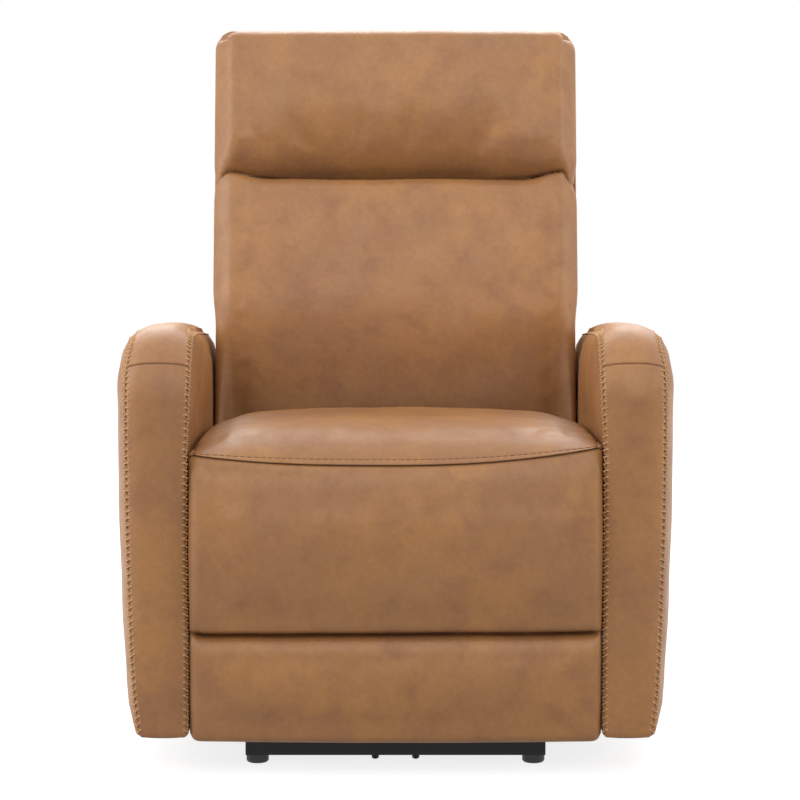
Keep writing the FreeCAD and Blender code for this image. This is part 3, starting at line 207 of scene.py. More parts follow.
# %% Soft boxes
SOFTBOXES = {  # its place, the point that it faces, its width and height in metres, and watts
    "front_high_softbox": ((0, -3.8, 2.75), (0, 0, 0.5), 5.0, 2.6, 97),
    "rear_top_softbox": ((0, 2.6, 2.8), (0, 0, 0.5), 4.6, 2.0, 150),
    "top_softbox": ((0, -0.4, 3.4), (0, 0, 0.4), 4.2, 3.2, 48),
    "left_softbox": ((-3.0, -0.6, 1.6), (0, 0, 0.6), 2.6, 2.6, 80),
    "right_softbox": ((3.0, -0.6, 1.6), (0, 0, 0.6), 2.6, 2.6, 54),
}
for name, (place, target, width, height, watts) in SOFTBOXES.items():
    data = bpy.data.lights.new(name, "AREA")
    data.shape = "RECTANGLE"
    data.size, data.size_y = width, height
    data.energy = watts
    lamp = bpy.data.objects.new(name, data)
    scene.collection.objects.link(lamp)
    lamp.location = place
    lamp.rotation_euler = (Vector(target) - Vector(place)).to_track_quat("-Z", "Y").to_euler()
    lamp.visible_camera = False
print(len(SOFTBOXES), "soft boxes,", sum(box[4] for box in SOFTBOXES.values()), "W in all")

# %% [markdown]
# The covers are pull-up leather: full-grain hide, dyed in a drum and filled with oil and wax.
# The dye takes unevenly, so the eye sees clouds of honey and of rosy brown over a tan ground.
# The hide's own grain gives small pebbles and pores, and the wax a satin shine that is duller
# where it has sunk in. Noise at each of those real sizes is enough, and no picture is needed.
# Leather is no metal, its wax has an IOR of about 1.48, and its roughness is about a half.

# %% Leather
def repeats(size):
    """How often a pattern of this size in millimetres repeats in a metre, to two digits."""
    return float("%.2g" % (1000 / size))


def leather(name, ground, honey, rosy, roughness):
    """Drum-dyed and waxed hide: cloudy colour, a fine pebble grain and a satin finish."""
    material, tree = new_material(name)
    place = add(tree, "Attribute", attribute_name="hide").outputs["Vector"]
    # Painted light and shade: this attribute darkens the leather in creases, folds and seams, and
    # lightens the arms' top.
    painted_shading = add(tree, "Attribute", attribute_name="painted_shading").outputs["Fac"]

    cloud = add(tree, "TexNoise", {
        "Vector": place, "Scale": repeats(125), "Detail": 3, "Distortion": 0.3,
    })
    patch = add(tree, "TexNoise", {
        "Vector": place, "Scale": repeats(42), "Detail": 3, "Roughness": 0.55, "Distortion": 0.4,
    })
    fleck = add(tree, "TexNoise", {
        "Vector": place, "Scale": repeats(7.7), "Detail": 3, "Roughness": 0.6,
    })
    warmth = add(tree, "MapRange", {
        "Value": cloud.outputs[0], "From Min": 0.36, "From Max": 0.66,
    }, interpolation_type="SMOOTHSTEP")
    depth = add(tree, "MapRange", {
        "Value": patch.outputs[0], "From Min": 0.42, "From Max": 0.76, "To Max": 0.6,
    }, interpolation_type="SMOOTHSTEP")
    clouded = add(tree, "Mix", {
        FACTOR: warmth.outputs[0], FIRST: linear(ground), SECOND: linear(honey),
    }, data_type="RGBA")
    patched = add(tree, "Mix", {
        FACTOR: depth.outputs[0], FIRST: clouded.outputs[MIXED], SECOND: linear(rosy),
    }, data_type="RGBA")
    flecked = add(tree, "MapRange", {
        "Value": fleck.outputs[0], "From Min": 0.3, "From Max": 0.7, "To Min": 0.93, "To Max": 1.07,
    })
    fleck_and_painted_shading = add(tree, "Math", {0: flecked.outputs[0], 1: painted_shading}, operation="ADD")
    colour = add(tree, "VectorMath", {
        0: patched.outputs[MIXED], "Scale": fleck_and_painted_shading.outputs[0],
    }, operation="SCALE")

    # Real pebbles are about 1 mm and pores 0.2 mm. Both are drawn coarser, so that they show.
    pebble = add(tree, "TexVoronoi", {
        "Vector": place, "Scale": repeats(1.6), "Randomness": 0.9,
    }, feature="SMOOTH_F1")
    pore = add(tree, "TexNoise", {"Vector": place, "Scale": repeats(0.7), "Detail": 2})
    soft = add(tree, "TexNoise", {
        "Vector": place, "Scale": repeats(26), "Detail": 3, "Distortion": 0.8,
    })
    lumps = add(tree, "Bump", {"Height": soft.outputs[0], "Strength": 0.2, "Distance": 0.003})
    grain = add(tree, "Bump", {
        "Height": pebble.outputs["Distance"], "Strength": 0.14, "Distance": 0.0006,
        "Normal": lumps.outputs[0],
    })
    pores = add(tree, "Bump", {
        "Height": pore.outputs[0], "Strength": 0.08, "Distance": 0.0004,
        "Normal": grain.outputs[0],
    })
    wax = add(tree, "MapRange", {
        "Value": patch.outputs[0], "From Min": 0.3, "From Max": 0.7,
        "To Min": roughness - 0.04, "To Max": roughness + 0.06,
    })
    skin = add(tree, "BsdfPrincipled", {
        "Base Color": colour.outputs[0], "Roughness": wax.outputs[0],
        "Normal": pores.outputs[0], "IOR": 1.48,
    })
    add(tree, "OutputMaterial", {"Surface": skin.outputs[0]})
    return material


TAN = leather("tan_pull_up_leather", "#986A41", "#A47342", "#8B5D3F", 0.47)
print(TAN.name, "has", len(TAN.node_tree.nodes), "nodes")

# %% [markdown]
# Upholstery is sewn with bonded polyester thread: twisted plies under a thin resin, which
# leaves a soft sheen and a fine twist. The arms have a thick, pale saddle thread and the seat
# a thinner tan one, drawn in a brown darker than the leather as painted shade for the holes
# that it sinks into. The stitches are real tubes further down, so the material only has to add
# the twist, as a small bump.

# %% Thread
def thread(name, colour):
    """Bonded polyester thread, its twist drawn at 1.1 mm, about twice the real size."""
    material, tree = new_material(name)
    place = add(tree, "TexCoord").outputs["Object"]
    twist = add(tree, "TexNoise", {"Vector": place, "Scale": repeats(1.11), "Detail": 1})
    bump = add(tree, "Bump", {"Height": twist.outputs[0], "Strength": 0.3, "Distance": 0.0003})
    body = add(tree, "BsdfPrincipled", {
        "Base Color": linear(colour), "Roughness": 0.55, "Normal": bump.outputs[0],
    })
    add(tree, "OutputMaterial", {"Surface": body.outputs[0]})
    return material


SADDLE_THREAD = thread("saddle_thread", "#BE9265")
# The seat's thread is tan; its darker brown is painted shade for its sunken stitches.
SEAM_THREAD = thread("seam_thread", "#7A4E2C")
print("threads:", SADDLE_THREAD.name, SEAM_THREAD.name)

# %% [markdown]
# The floor base and the linkage are mild steel with black epoxy powder, sprayed on and baked.
# The powder flows into an even satin skin with a faint orange peel, and hides the steel, so it
# is shaded as a paint and not as a metal. Hands and floors dull it in wide soft areas. Its IOR
# is 1.4, a little under the 1.5 of most paints, which keeps the black deep.

# %% Powder-coated steel
def powder_coat():
    """Black baked powder: peel 2.4 mm across, dull areas of about 110 mm."""
    material, tree = new_material("powder_coated_steel")
    place = add(tree, "TexCoord").outputs["Object"]
    peel = add(tree, "TexNoise", {"Vector": place, "Scale": repeats(2.4), "Detail": 2})
    worn = add(tree, "TexNoise", {"Vector": place, "Scale": repeats(111), "Detail": 3})
    tint = add(tree, "Mix", {
        FACTOR: worn.outputs[0], FIRST: linear("#0C0B0B"), SECOND: linear("#121111"),
    }, data_type="RGBA")
    satin = add(tree, "MapRange", {"Value": worn.outputs[0], "To Min": 0.46, "To Max": 0.58})
    bump = add(tree, "Bump", {"Height": peel.outputs[0], "Strength": 0.12, "Distance": 0.0005})
    skin = add(tree, "BsdfPrincipled", {
        "Base Color": tint.outputs[MIXED], "Roughness": satin.outputs[0],
        "IOR": 1.4, "Normal": bump.outputs[0],
    })
    add(tree, "OutputMaterial", {"Surface": skin.outputs[0]})
    return material


POWDER_COAT = powder_coat()
print(POWDER_COAT.name, "has", len(POWDER_COAT.node_tree.nodes), "nodes")

# %% [markdown]
# Bolts, springs, lead screws and tracks are zinc plated in a bath, which leaves a metal with
# faint clouds in its shine. A bright bath gives the grey of new screws, and a black one the
# dark nuts under the base. Both are metal, so one function makes them, and the default IOR
# stays.

# %% Zinc-plated steel
def zinc_plate(name, dull, bright):
    """Plated steel: clouds of about 17 mm in colour and shine."""
    material, tree = new_material(name)
    place = add(tree, "TexCoord").outputs["Object"]
    cloud = add(tree, "TexNoise", {"Vector": place, "Scale": repeats(16.7), "Detail": 4})
    tint = add(tree, "Mix", {
        FACTOR: cloud.outputs[0], FIRST: linear(dull), SECOND: linear(bright),
    }, data_type="RGBA")
    satin = add(tree, "MapRange", {"Value": cloud.outputs[0], "To Min": 0.26, "To Max": 0.42})
    skin = add(tree, "BsdfPrincipled", {
        "Base Color": tint.outputs[MIXED], "Roughness": satin.outputs[0], "Metallic": 1,
    })
    add(tree, "OutputMaterial", {"Surface": skin.outputs[0]})
    return material


BRIGHT_ZINC = zinc_plate("bright_zinc_steel", "#A9ABAD", "#C6C8CA")
BLACK_ZINC = zinc_plate("black_zinc_steel", "#1B1B1D", "#29292C")
print("plated finishes:", BRIGHT_ZINC.name, BLACK_ZINC.name)

# %% [markdown]
# The switch, the feet and the motor housings are moulded ABS, the rollers and sliders nylon.
# The mould's walls are spark eroded, which prints a fine even grain on the plastic and breaks
# up its gloss. ABS and nylon have an IOR of about 1.53.

# %% Moulded plastics
def moulded(name, colour, roughness, grain):
    """Plastic with the tool's grain, drawn at 0.9 mm, and a slow change of shade."""
    material, tree = new_material(name)
    place = add(tree, "TexCoord").outputs["Object"]
    spark = add(tree, "TexNoise", {"Vector": place, "Scale": repeats(0.9), "Detail": 2})
    shade = add(tree, "TexNoise", {"Vector": place, "Scale": repeats(33), "Detail": 2})
    value = add(tree, "MapRange", {"Value": shade.outputs[0], "To Min": 0.92, "To Max": 1.08})
    tint = add(tree, "HueSaturation", {"Value": value.outputs[0], "Color": linear(colour)})
    bump = add(tree, "Bump", {"Height": spark.outputs[0], "Strength": grain, "Distance": 0.0003})
    skin = add(tree, "BsdfPrincipled", {
        "Base Color": tint.outputs[0], "Roughness": roughness,
        "IOR": 1.53, "Normal": bump.outputs[0],
    })
    add(tree, "OutputMaterial", {"Surface": skin.outputs[0]})
    return material


BLACK_ABS = moulded("black_abs", "#1B1B1D", 0.48, 0.25)
WHITE_NYLON = moulded("white_nylon", "#D8D4C9", 0.42, 0.1)
print("plastics:", BLACK_ABS.name, WHITE_NYLON.name)

# %% [markdown]
# Under the leather the chair is birch plywood and planed beech. Most of it is hidden, and from
# below the sawn edges show. Sanded wood is matt, with growth rings drawn out along the board
# and pores that follow them, so the noise is stretched along one axis.

# %% Wood
def sawn_wood(name, pale, dark, stretch, ring):
    """Sanded wood: rings a given number of millimetres apart, stretched along the grain."""
    material, tree = new_material(name)
    place = add(tree, "TexCoord").outputs["Object"]
    board = add(tree, "Mapping", {"Vector": place, "Scale": stretch})
    grain = add(tree, "TexNoise", {
        "Vector": board.outputs[0], "Scale": repeats(ring), "Detail": 5,
        "Roughness": 0.6, "Distortion": 0.6,
    })
    pore = add(tree, "TexNoise", {
        "Vector": board.outputs[0], "Scale": repeats(ring) * 9, "Detail": 2,
    })
    sharp = add(tree, "MapRange", {"Value": grain.outputs[0], "From Min": 0.35, "From Max": 0.68})
    tint = add(tree, "Mix", {
        FACTOR: sharp.outputs[0], FIRST: linear(pale), SECOND: linear(dark),
    }, data_type="RGBA")
    bump = add(tree, "Bump", {"Height": pore.outputs[0], "Strength": 0.25, "Distance": 0.0004})
    skin = add(tree, "BsdfPrincipled", {
        "Base Color": tint.outputs[MIXED], "Roughness": 0.62, "Normal": bump.outputs[0],
    })
    add(tree, "OutputMaterial", {"Surface": skin.outputs[0]})
    return material


BIRCH = sawn_wood("birch_plywood", "#CDA678", "#B08657", (1, 1, 0.12), 18.2)
BEECH = sawn_wood("planed_beech", "#C99B70", "#B0815A", (0.1, 1, 1), 14.3)
print("woods:", BIRCH.name, BEECH.name)

# %% [markdown]
# The back is carried by elastic webbing: rubber cores under a close polypropylene weave. It is
# matt and black, with ribs along and across. Two wave textures multiplied give the weave, both
# drawn a little coarser than the real ribs, so that they show from below.

# %% Webbing
BAND = math.pi / 10  # a wave texture of scale 1 has a band every so many metres


def woven_webbing():
    """Black elastic webbing, with ribs 6 mm apart across and 3.5 mm apart up."""
    material, tree = new_material("elastic_webbing")
    place = add(tree, "TexCoord").outputs["Object"]
    ribs = [
        add(tree, "TexWave", {
            "Vector": place, "Scale": repeats(size / BAND), "Distortion": 0.4,
        }, bands_direction=axis).outputs["Fac"]
        for axis, size in (("X", 6.0), ("Z", 3.5))
    ]
    weave = add(tree, "Math", {0: ribs[0], 1: ribs[1]}, operation="MULTIPLY")
    tint = add(tree, "Mix", {
        FACTOR: weave.outputs[0], FIRST: linear("#121213"), SECOND: linear("#2B2B2D"),
    }, data_type="RGBA")
    bump = add(tree, "Bump", {"Height": weave.outputs[0], "Strength": 0.6, "Distance": 0.0008})
    skin = add(tree, "BsdfPrincipled", {
        "Base Color": tint.outputs[MIXED], "Roughness": 0.8, "Normal": bump.outputs[0],
    })
    add(tree, "OutputMaterial", {"Surface": skin.outputs[0]})
    return material


WEBBING = woven_webbing()
print(WEBBING.name, "ribs:", repeats(6.0 / BAND), repeats(3.5 / BAND))

# %% [markdown]
# The record says what each CAD part is made of, so every part could be given its finish by
# hand, and a loop over the record is shorter and misses none. Only the bolts that show under
# the front of the base differ: theirs are black, to match the steel around them.

# %% Dress the CAD parts
FINISHES = {
    "tan_leather": TAN,
    "black_steel": POWDER_COAT,
    "zinc_steel": BRIGHT_ZINC,
    "black_plastic": BLACK_ABS,
    "white_nylon": WHITE_NYLON,
    "plywood": BIRCH,
    "beech": BEECH,
    "black_webbing": WEBBING,
}


def dress(node, finish):
    """Gives every material slot of a CAD part one finish."""
    for slot in frame["nodes"][node].material_slots:
        slot.material = finish


for part in frame["record"]["subparts"]:
    dress(part["node"], FINISHES[part["material_slot"]])
dress("motor_bracket_bolts", BLACK_ZINC)

# %% [markdown]
# Leather is cut from a flat hide and sewn, and here a cover starts as points and faces. Each
# one carries two things for its material. The first is its place on the hide, moved on from
# cover to cover, so that no two show the same clouds. The second is painted shading: painted
# shade that darkens the leather in creases, folds and seams, where shade falls, and painted
# light on the top of the arms. Both are attributes of the mesh, so they stay with the leather
# when a joint moves it.

# %% Covers as meshes
HIDE_STEP = np.array([0.37, 0.61, 0.83])  # metres further over the hide for each new piece
made_pieces = []


def cover(name, points, faces, painted_shading=0.0, material=TAN):
    """A mesh object of millimetre points, with its place on the hide and its painted shading."""
    mesh = bpy.data.meshes.new(name)
    placed = metres(points)
    mesh.from_pydata(placed.tolist(), [], faces)
    mesh.polygons.foreach_set("use_smooth", [True] * len(mesh.polygons))
    on_hide = placed + HIDE_STEP * (len(made_pieces) + 1)
    hide = mesh.attributes.new("hide", "FLOAT_VECTOR", "POINT")
    hide.data.foreach_set("vector", on_hide.astype(np.float32).ravel())
    # Painted shade and painted light, carried by the mesh as an attribute.
    shade = mesh.attributes.new("painted_shading", "FLOAT", "POINT")
    shade.data.foreach_set("value", (np.zeros(len(placed)) + painted_shading).astype(np.float32))
    mesh.materials.append(material)
    piece = bpy.data.objects.new(name, mesh)
    scene.collection.objects.link(piece)
    made_pieces.append(name)
    print(name, "has", len(placed), "points")
    return piece


print("next cover starts", (HIDE_STEP * 1000).astype(int).tolist(), "mm over the hide")

# %% [markdown]
# A foam cushion starts as a block. A subdivided cube has even faces, but a cushion needs small
# ones where it folds and large ones where it lies flat, so this block is cut at chosen places
# along each axis. Its edges are rounded by moving points instead of by a bevel, which keeps
# the rows of faces straight for the folds to follow.

# %% Blocks and their edges
def steps(*runs):
    """Cut places: each run is (start, end, spacing), and runs join end to end."""
    cuts = [runs[0][0]]
    for start, end, spacing in runs:
        count = max(1, round(abs(end - start) / spacing))
        cuts += list(np.linspace(start, end, count + 1)[1:])
    return np.array(cuts)


def steps_across(half, margin, fine, coarse):
    """Cuts from side to side, fine within a margin of both edges and coarse between."""
    return steps(
        (-half, -half + margin, fine), (-half + margin, half - margin, coarse),
        (half - margin, half, fine),
    )


def box_lattice(a, b, c):
    """Points and quads on the surface of a block, cut at the given places along its axes."""
    na, nb, nc = len(a) - 1, len(b) - 1, len(c) - 1
    index = {}
    points = []

    def at(i, j, k):
        if (i, j, k) not in index:
            index[i, j, k] = len(points)
            points.append((a[i], b[j], c[k]))
        return index[i, j, k]

    faces = []
    for i in range(na):
        for k in range(nc):
            faces.append((at(i, 0, k), at(i + 1, 0, k), at(i + 1, 0, k + 1), at(i, 0, k + 1)))
            faces.append((at(i, nb, k), at(i, nb, k + 1), at(i + 1, nb, k + 1), at(i + 1, nb, k)))
    for j in range(nb):
        for k in range(nc):
            faces.append((at(0, j, k), at(0, j, k + 1), at(0, j + 1, k + 1), at(0, j + 1, k)))
            faces.append((at(na, j, k), at(na, j + 1, k), at(na, j + 1, k + 1), at(na, j, k + 1)))
    for i in range(na):
        for j in range(nb):
            faces.append((at(i, j, 0), at(i, j + 1, 0), at(i + 1, j + 1, 0), at(i + 1, j, 0)))
            faces.append((at(i, j, nc), at(i + 1, j, nc), at(i + 1, j + 1, nc), at(i, j + 1, nc)))
    return np.array(points, float), faces


def side_face(side, half, radius):
    """The right (1) or left (-1) face of a block, for an edge of this radius."""
    return 0, side * half, side * (half - radius)


def round_corner(points, first, second, power=2.0):
    """Rounds the edge between two faces: each is (axis, its place, where the curve starts)."""
    (i, face_i, start_i), (j, face_j, start_j) = first, second
    a = np.clip((points[:, i] - start_i) / (face_i - start_i), 0, None)
    b = np.clip((points[:, j] - start_j) / (face_j - start_j), 0, None)
    length = (a**power + b**power) ** (1 / power)
    share = np.where((a > 0) & (b > 0), np.maximum(a, b) / np.maximum(length, 1e-9), 1)
    turned = points.copy()
    turned[:, i] = np.where(a > 0, start_i + a * share * (face_i - start_i), points[:, i])
    turned[:, j] = np.where(b > 0, start_j + b * share * (face_j - start_j), points[:, j])
    return turned


print("a block cut in 2 x 3 x 4 has", len(box_lattice(range(3), range(4), range(5))[1]), "faces")

# %% [markdown]
# An upholsterer checks a cushion's outline against a template. The templates here are smooth
# curves through measured points, a soft step, a bell for creases and ridges, and a ripple for
# the unevenness of stuffing. They could be splines and sculpting, but as formulas they can be
# read, and they give the same chair each time.

# %% Templates
def smooth_curve(knots):
    """A smooth function through (x, y) knots that doesn't overshoot them."""
    x, y = (np.array(v, float) for v in zip(*knots))
    h = np.diff(x)
    slope = np.diff(y) / h
    tangent = np.zeros(len(x))
    product = slope[1:] * slope[:-1]
    total = slope[1:] + slope[:-1]
    tangent[1:-1] = np.where(product > 0, 2 * product / np.where(total == 0, 1, total), 0)
    tangent[0], tangent[-1] = slope[0], slope[-1]

    def value(at):
        at = np.clip(at, x[0], x[-1])
        i = np.clip(np.searchsorted(x, at, side="right") - 1, 0, len(h) - 1)
        t = (at - x[i]) / h[i]
        return (
            (2 * t**3 - 3 * t**2 + 1) * y[i]
            + (t**3 - 2 * t**2 + t) * h[i] * tangent[i]
            + (3 * t**2 - 2 * t**3) * y[i + 1]
            + (t**3 - t**2) * h[i] * tangent[i + 1]
        )

    return value


def ease(x, low, high):
    """0 below low, 1 above high, smooth between."""
    t = np.clip((x - low) / (high - low), 0, 1)
    return t * t * (3 - 2 * t)


def bell(x, width):
    """1 at 0, falling away on both sides over about the given width."""
    return np.exp(-((x / width) ** 2))


def ripple(x, z, size):
    """Soft unevenness about 1 high, from crossed waves of the given size in millimetres."""
    u, v = x / size, z / size
    return (
        np.sin(1.9 * u + 0.7 * v + 0.4)
        + np.sin(-1.1 * u + 2.3 * v + 1.9)
        + np.sin(2.9 * u - 1.7 * v + 2.7)
        + np.sin(0.6 * u - 3.1 * v + 5.1)
    ) / 2.6


print("soft step at its middle:", float(ease(5, 0, 10)), "and a bell's edge:", round(bell(1, 1), 2))

# %% [markdown]
# Fibre filling presses a cover out between its seams. Blender's cloth does the same with
# pressure inside a closed mesh and no gravity. Seams and creases are sewn through the foam, so
# those points are held, and a cap keeps the leather from ballooning over the frame. The cloth
# runs for 20 frames, its result goes into the mesh, and nothing of it is left on the piece.

# %% Stuffing
SWELL = 0.004  # metres that the leather may move at most
PRESSURE = 4.0
HELD_LEVELS = 10
FRAMES = 20


def stuff(piece, held):
    """Swells a closed cover with cloth. Points with held 1 stay, and those with 0 are free."""
    mesh = piece.data
    before = np.empty(len(mesh.vertices) * 3)
    mesh.vertices.foreach_get("co", before)
    before = before.reshape(-1, 3)
    held = np.clip(held, 0, 1)
    group = piece.vertex_groups.new(name="held")
    for level in range(1, HELD_LEVELS + 1):
        chosen = np.nonzero(np.round(held * HELD_LEVELS) == level)[0]
        if len(chosen):
            group.add(chosen.tolist(), level / HELD_LEVELS, "REPLACE")
    filling = piece.modifiers.new("filling", "CLOTH")
    cloth = filling.settings
    cloth.quality = 6
    cloth.mass = 0.5
    cloth.tension_stiffness = 18
    cloth.compression_stiffness = 18
    cloth.shear_stiffness = 8
    cloth.bending_stiffness = 2.5
    cloth.use_pressure = True
    cloth.uniform_pressure_force = PRESSURE
    cloth.vertex_group_mass = "held"
    cloth.pin_stiffness = 1.5
    cloth.shrink_min = -0.012  # the hide is cut a little larger than the foam
    cloth.effector_weights.gravity = 0.0
    filling.collision_settings.use_collision = False
    filling.point_cache.frame_end = FRAMES
    for number in range(1, FRAMES + 1):
        scene.frame_set(number)
    shaped = piece.evaluated_get(bpy.context.evaluated_depsgraph_get()).data
    after = np.empty(len(before) * 3)
    shaped.vertices.foreach_get("co", after)
    after = after.reshape(-1, 3)
    scene.frame_set(1)
    piece.modifiers.remove(filling)
    piece.vertex_groups.remove(group)
    move = (after - before) * (1 - held)[:, None]
    far = np.linalg.norm(move, axis=1)
    move *= (SWELL * np.tanh(far / SWELL) / np.maximum(far, 1e-9))[:, None]
    mesh.vertices.foreach_set("co", (before + move).ravel())
    mesh.update()
    swell = float(np.linalg.norm(move, axis=1).max())
    print(piece.name, "swelled by up to", round(swell * 1000, 1), "mm")


print("the filling may lift the leather by", round(SWELL * 1000), "mm")

# %% [markdown]
# The back is a flat cushion with a fuller head cushion over it. It leans, so it is easiest to
# draw lying flat: across it, behind its front, and up along it from the seat's rear edge. One
# function then stands it up. Two templates give its section: the head's, upwards from the
# crease, and the lower cushion's, downwards from the same crease.

# %% The back's measures
HALF = 278.8  # half width of the cushions
LEAN = math.radians(14)
SEAT_REAR = (520.0, 440.0)  # Y and Z of the seat's rear edge
BACK_TOP = 607.8
CREASE = 373.0
CUSHION_THICK = 138.0  # down to the webbing that the cushions lie on
HEAD_FLAT = -23.5  # the head's front, before the plane that the back is measured from
HEAD_PROFILE = smooth_curve([
    (0, 44), (2, 42), (8, 35), (16, 26), (25, 18), (44, 4), (63, -5.5), (82, -12),
    (101, -16.5), (125, -19.5), (150, -21.5), (180, -23), (205, HEAD_FLAT), (218, -22.5),
    (228, -20), (237, -15),
])
LUMBAR_PROFILE = smooth_curve([
    (0, 44), (1.2, 32), (3, 18), (6, 9), (11, 2), (18, -4), (30, -8), (50, -10.5),
    (90, -12), (150, -13.5), (190, -13), (215, -11), (240, -6.5), (265, -0.5), (300, 8),
    (340, 18), (373, 26), (400, 31), (458, 35),
])


def on_back(points):
    """Back measures (across, behind the front, up along it) as chair millimetres."""
    x, v, w = np.asarray(points, float).T
    y = SEAT_REAR[0] + v * math.cos(LEAN) + w * math.sin(LEAN)
    z = SEAT_REAR[1] - v * math.sin(LEAN) + w * math.cos(LEAN)
    return np.stack([x, y, z], -1)


print("the back's top is", round(float(on_back([0, 0, BACK_TOP])[2])), "mm up")

# %% [markdown]
# The crease between the cushions isn't a straight line: it rises towards the sides and falls
# away at the very edges, a little further on one side, as hand-sewn work does. The fold of the
# head over it is tighter near the edges, where the leather is pulled round the foam, and small
# puckers gather along it.

# %% The back's front
def back_front(x, w):
    """How far the cover's front stands behind (or, below 0, before) its flat plane."""
    across = np.abs(x)
    right = x > 0
    rise = 8 * ease(across, 205, 258)
    fall = np.where(right, 21, 12) * ease(across, 256, 279)
    line = CREASE + rise - fall + 0.8 * np.sin(x / 37.0)
    above = w > line

    tighter = np.where(right, 1.15, 0.8) * ease(across, 120, 235)
    narrow = 1 + tighter + 0.9 * ease(across, 225, 262)
    near_top = ease(w - line, 165, 200)
    up = np.minimum((w - line) * narrow, 200)
    fold = HEAD_FLAT + (HEAD_PROFILE(up) - HEAD_FLAT) / narrow
    head = fold * (1 - near_top) + HEAD_PROFILE(w - CREASE) * near_top

    shallow = np.where(line - w < 60, 1 + 1.6 * ease(across, 190, 262), 1)
    lower = LUMBAR_PROFILE(line - w)
    lower = np.where(lower > -8, -8 + (lower + 8) / shallow, lower)

    swell = np.where(above, 5, 4) * (across / 250) ** 2
    drawn_in = bell(w - line, 15) * (1 - ease(across, 225, 262))
    wave = 0.9 * np.sin(x / 5.3 + 1.3 * np.sin(x / 23)) * np.sin(x / 17.0 + 0.6)
    return np.where(above, head, lower) + swell + drawn_in * wave


proud = back_front(np.zeros(2), np.array([300.0, 540.0]))
print("lower and head cushion stand proud by", np.round(-proud, 1).tolist(), "mm")

# %% [markdown]
# Head and lower cushion share one cover, drawn in by a seam between them. Two meshes could
# leave a gap where they meet, so this is one closed mesh: a block with close rows at the
# crease, rounded edges, the front from the cell above, and sides that bulge a little. Then the
# stuffing swells it, with the crease, the edges and the hidden side held. Painted shade darkens
# the crease, the fold over it, the foot of the cushion and the rear of its sides at the channel.

# %% Back cover
def wider_above_arms(w):
    """The back's covers stand out a little above the arms."""
    return ease(w, 135, 200)


def back_cover():
    """Head and lower cushion in one closed cover, drawn in by a crease between them."""
    thick = CUSHION_THICK
    points, faces = box_lattice(
        steps_across(HALF, 44, 3.6, 7.6),
        steps((0, 28, 3.5), (28, thick - 12, 11), (thick - 12, thick, 3)),
        steps(
            (-85, 310, 8), (310, 345, 5), (345, 362, 2.4), (362, 382, 1.3), (382, 400, 2.4),
            (400, 440, 5), (440, 578, 8), (578, BACK_TOP, 3.5),
        ),
    )
    for side, radius in ((1, 32), (-1, 40)):
        points = round_corner(points, side_face(side, HALF, radius), (1, 0, 25), 1.8)
        points = round_corner(points, side_face(side, HALF, 7), (1, thick, thick - 9))
    points = round_corner(points, (1, 0, 24), (2, BACK_TOP, BACK_TOP - 20), 1.8)
    points = round_corner(points, (1, thick, thick - 9), (2, BACK_TOP, BACK_TOP - 9))
    for side, radius in ((1, 34), (-1, 29)):
        top = (2, BACK_TOP, BACK_TOP - radius)
        points = round_corner(points, side_face(side, HALF, radius), top)

    x, v, w = points.T.copy()
    share = np.abs(x) / HALF
    sign = np.sign(x)
    frontness = np.clip(1 - v / 70, 0, 1) ** 1.5
    shape = back_front(x, w) + 0.8 * ripple(x, w, 48)
    points[:, 1] += shape * frontness * (1 - 0.8 * ease(share, 0.9, 1.0))
    pinch = bell(w - CREASE + 8, 17) * np.where(x > 0, 7, 2.5) * ease(share, 0.88, 1)
    pinch = pinch * np.clip(1 - v / 120, 0, 1)
    points[:, 0] += sign * (4.4 * wider_above_arms(w) * share - pinch)
    bulge = np.sin(math.pi * np.clip(v / thick, 0, 1))
    points[:, 0] += sign * 1.2 * bulge * ease(share, 0.9, 1)

    line = CREASE + 8 * ease(np.abs(x), 205, 258) - 16 * ease(np.abs(x), 256, 279)
    # Painted shade in the crease, at the channel behind the sides, over the fold above the crease
    # and at the foot of the cushion.
    crease_painted_shade = 0.4 * bell(w - line, 3) * frontness
    channel_painted_shade = 0.4 * ease(v, 128, 136) * ease(share, 0.9, 0.97)
    fold_painted_shade = 0.22 * (1 - ease(w, line, line + 46)) * (w > line) * frontness
    fold_painted_shade = fold_painted_shade * (1 - ease(share, 0.82, 0.95))
    foot_painted_shade = 0.2 * (1 - ease(w, 20, 165)) * frontness
    painted_shading = -crease_painted_shade - channel_painted_shade - fold_painted_shade - foot_painted_shade
    piece = cover("back_cover", on_back(points), faces, painted_shading)

    sides = ease(share, 0.8, 0.96)
    folds = 1 - ease(np.abs(w - line), 10, 55)
    ends = np.maximum(ease(w, 545, 592), 1 - ease(w, -60, 0))
    stuff(piece, np.max([sides, folds, ends, ease(v, 8, 50)], axis=0))
    return piece


back = back_cover()
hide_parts("back_cushion", "head_cushion")
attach(back, "back")
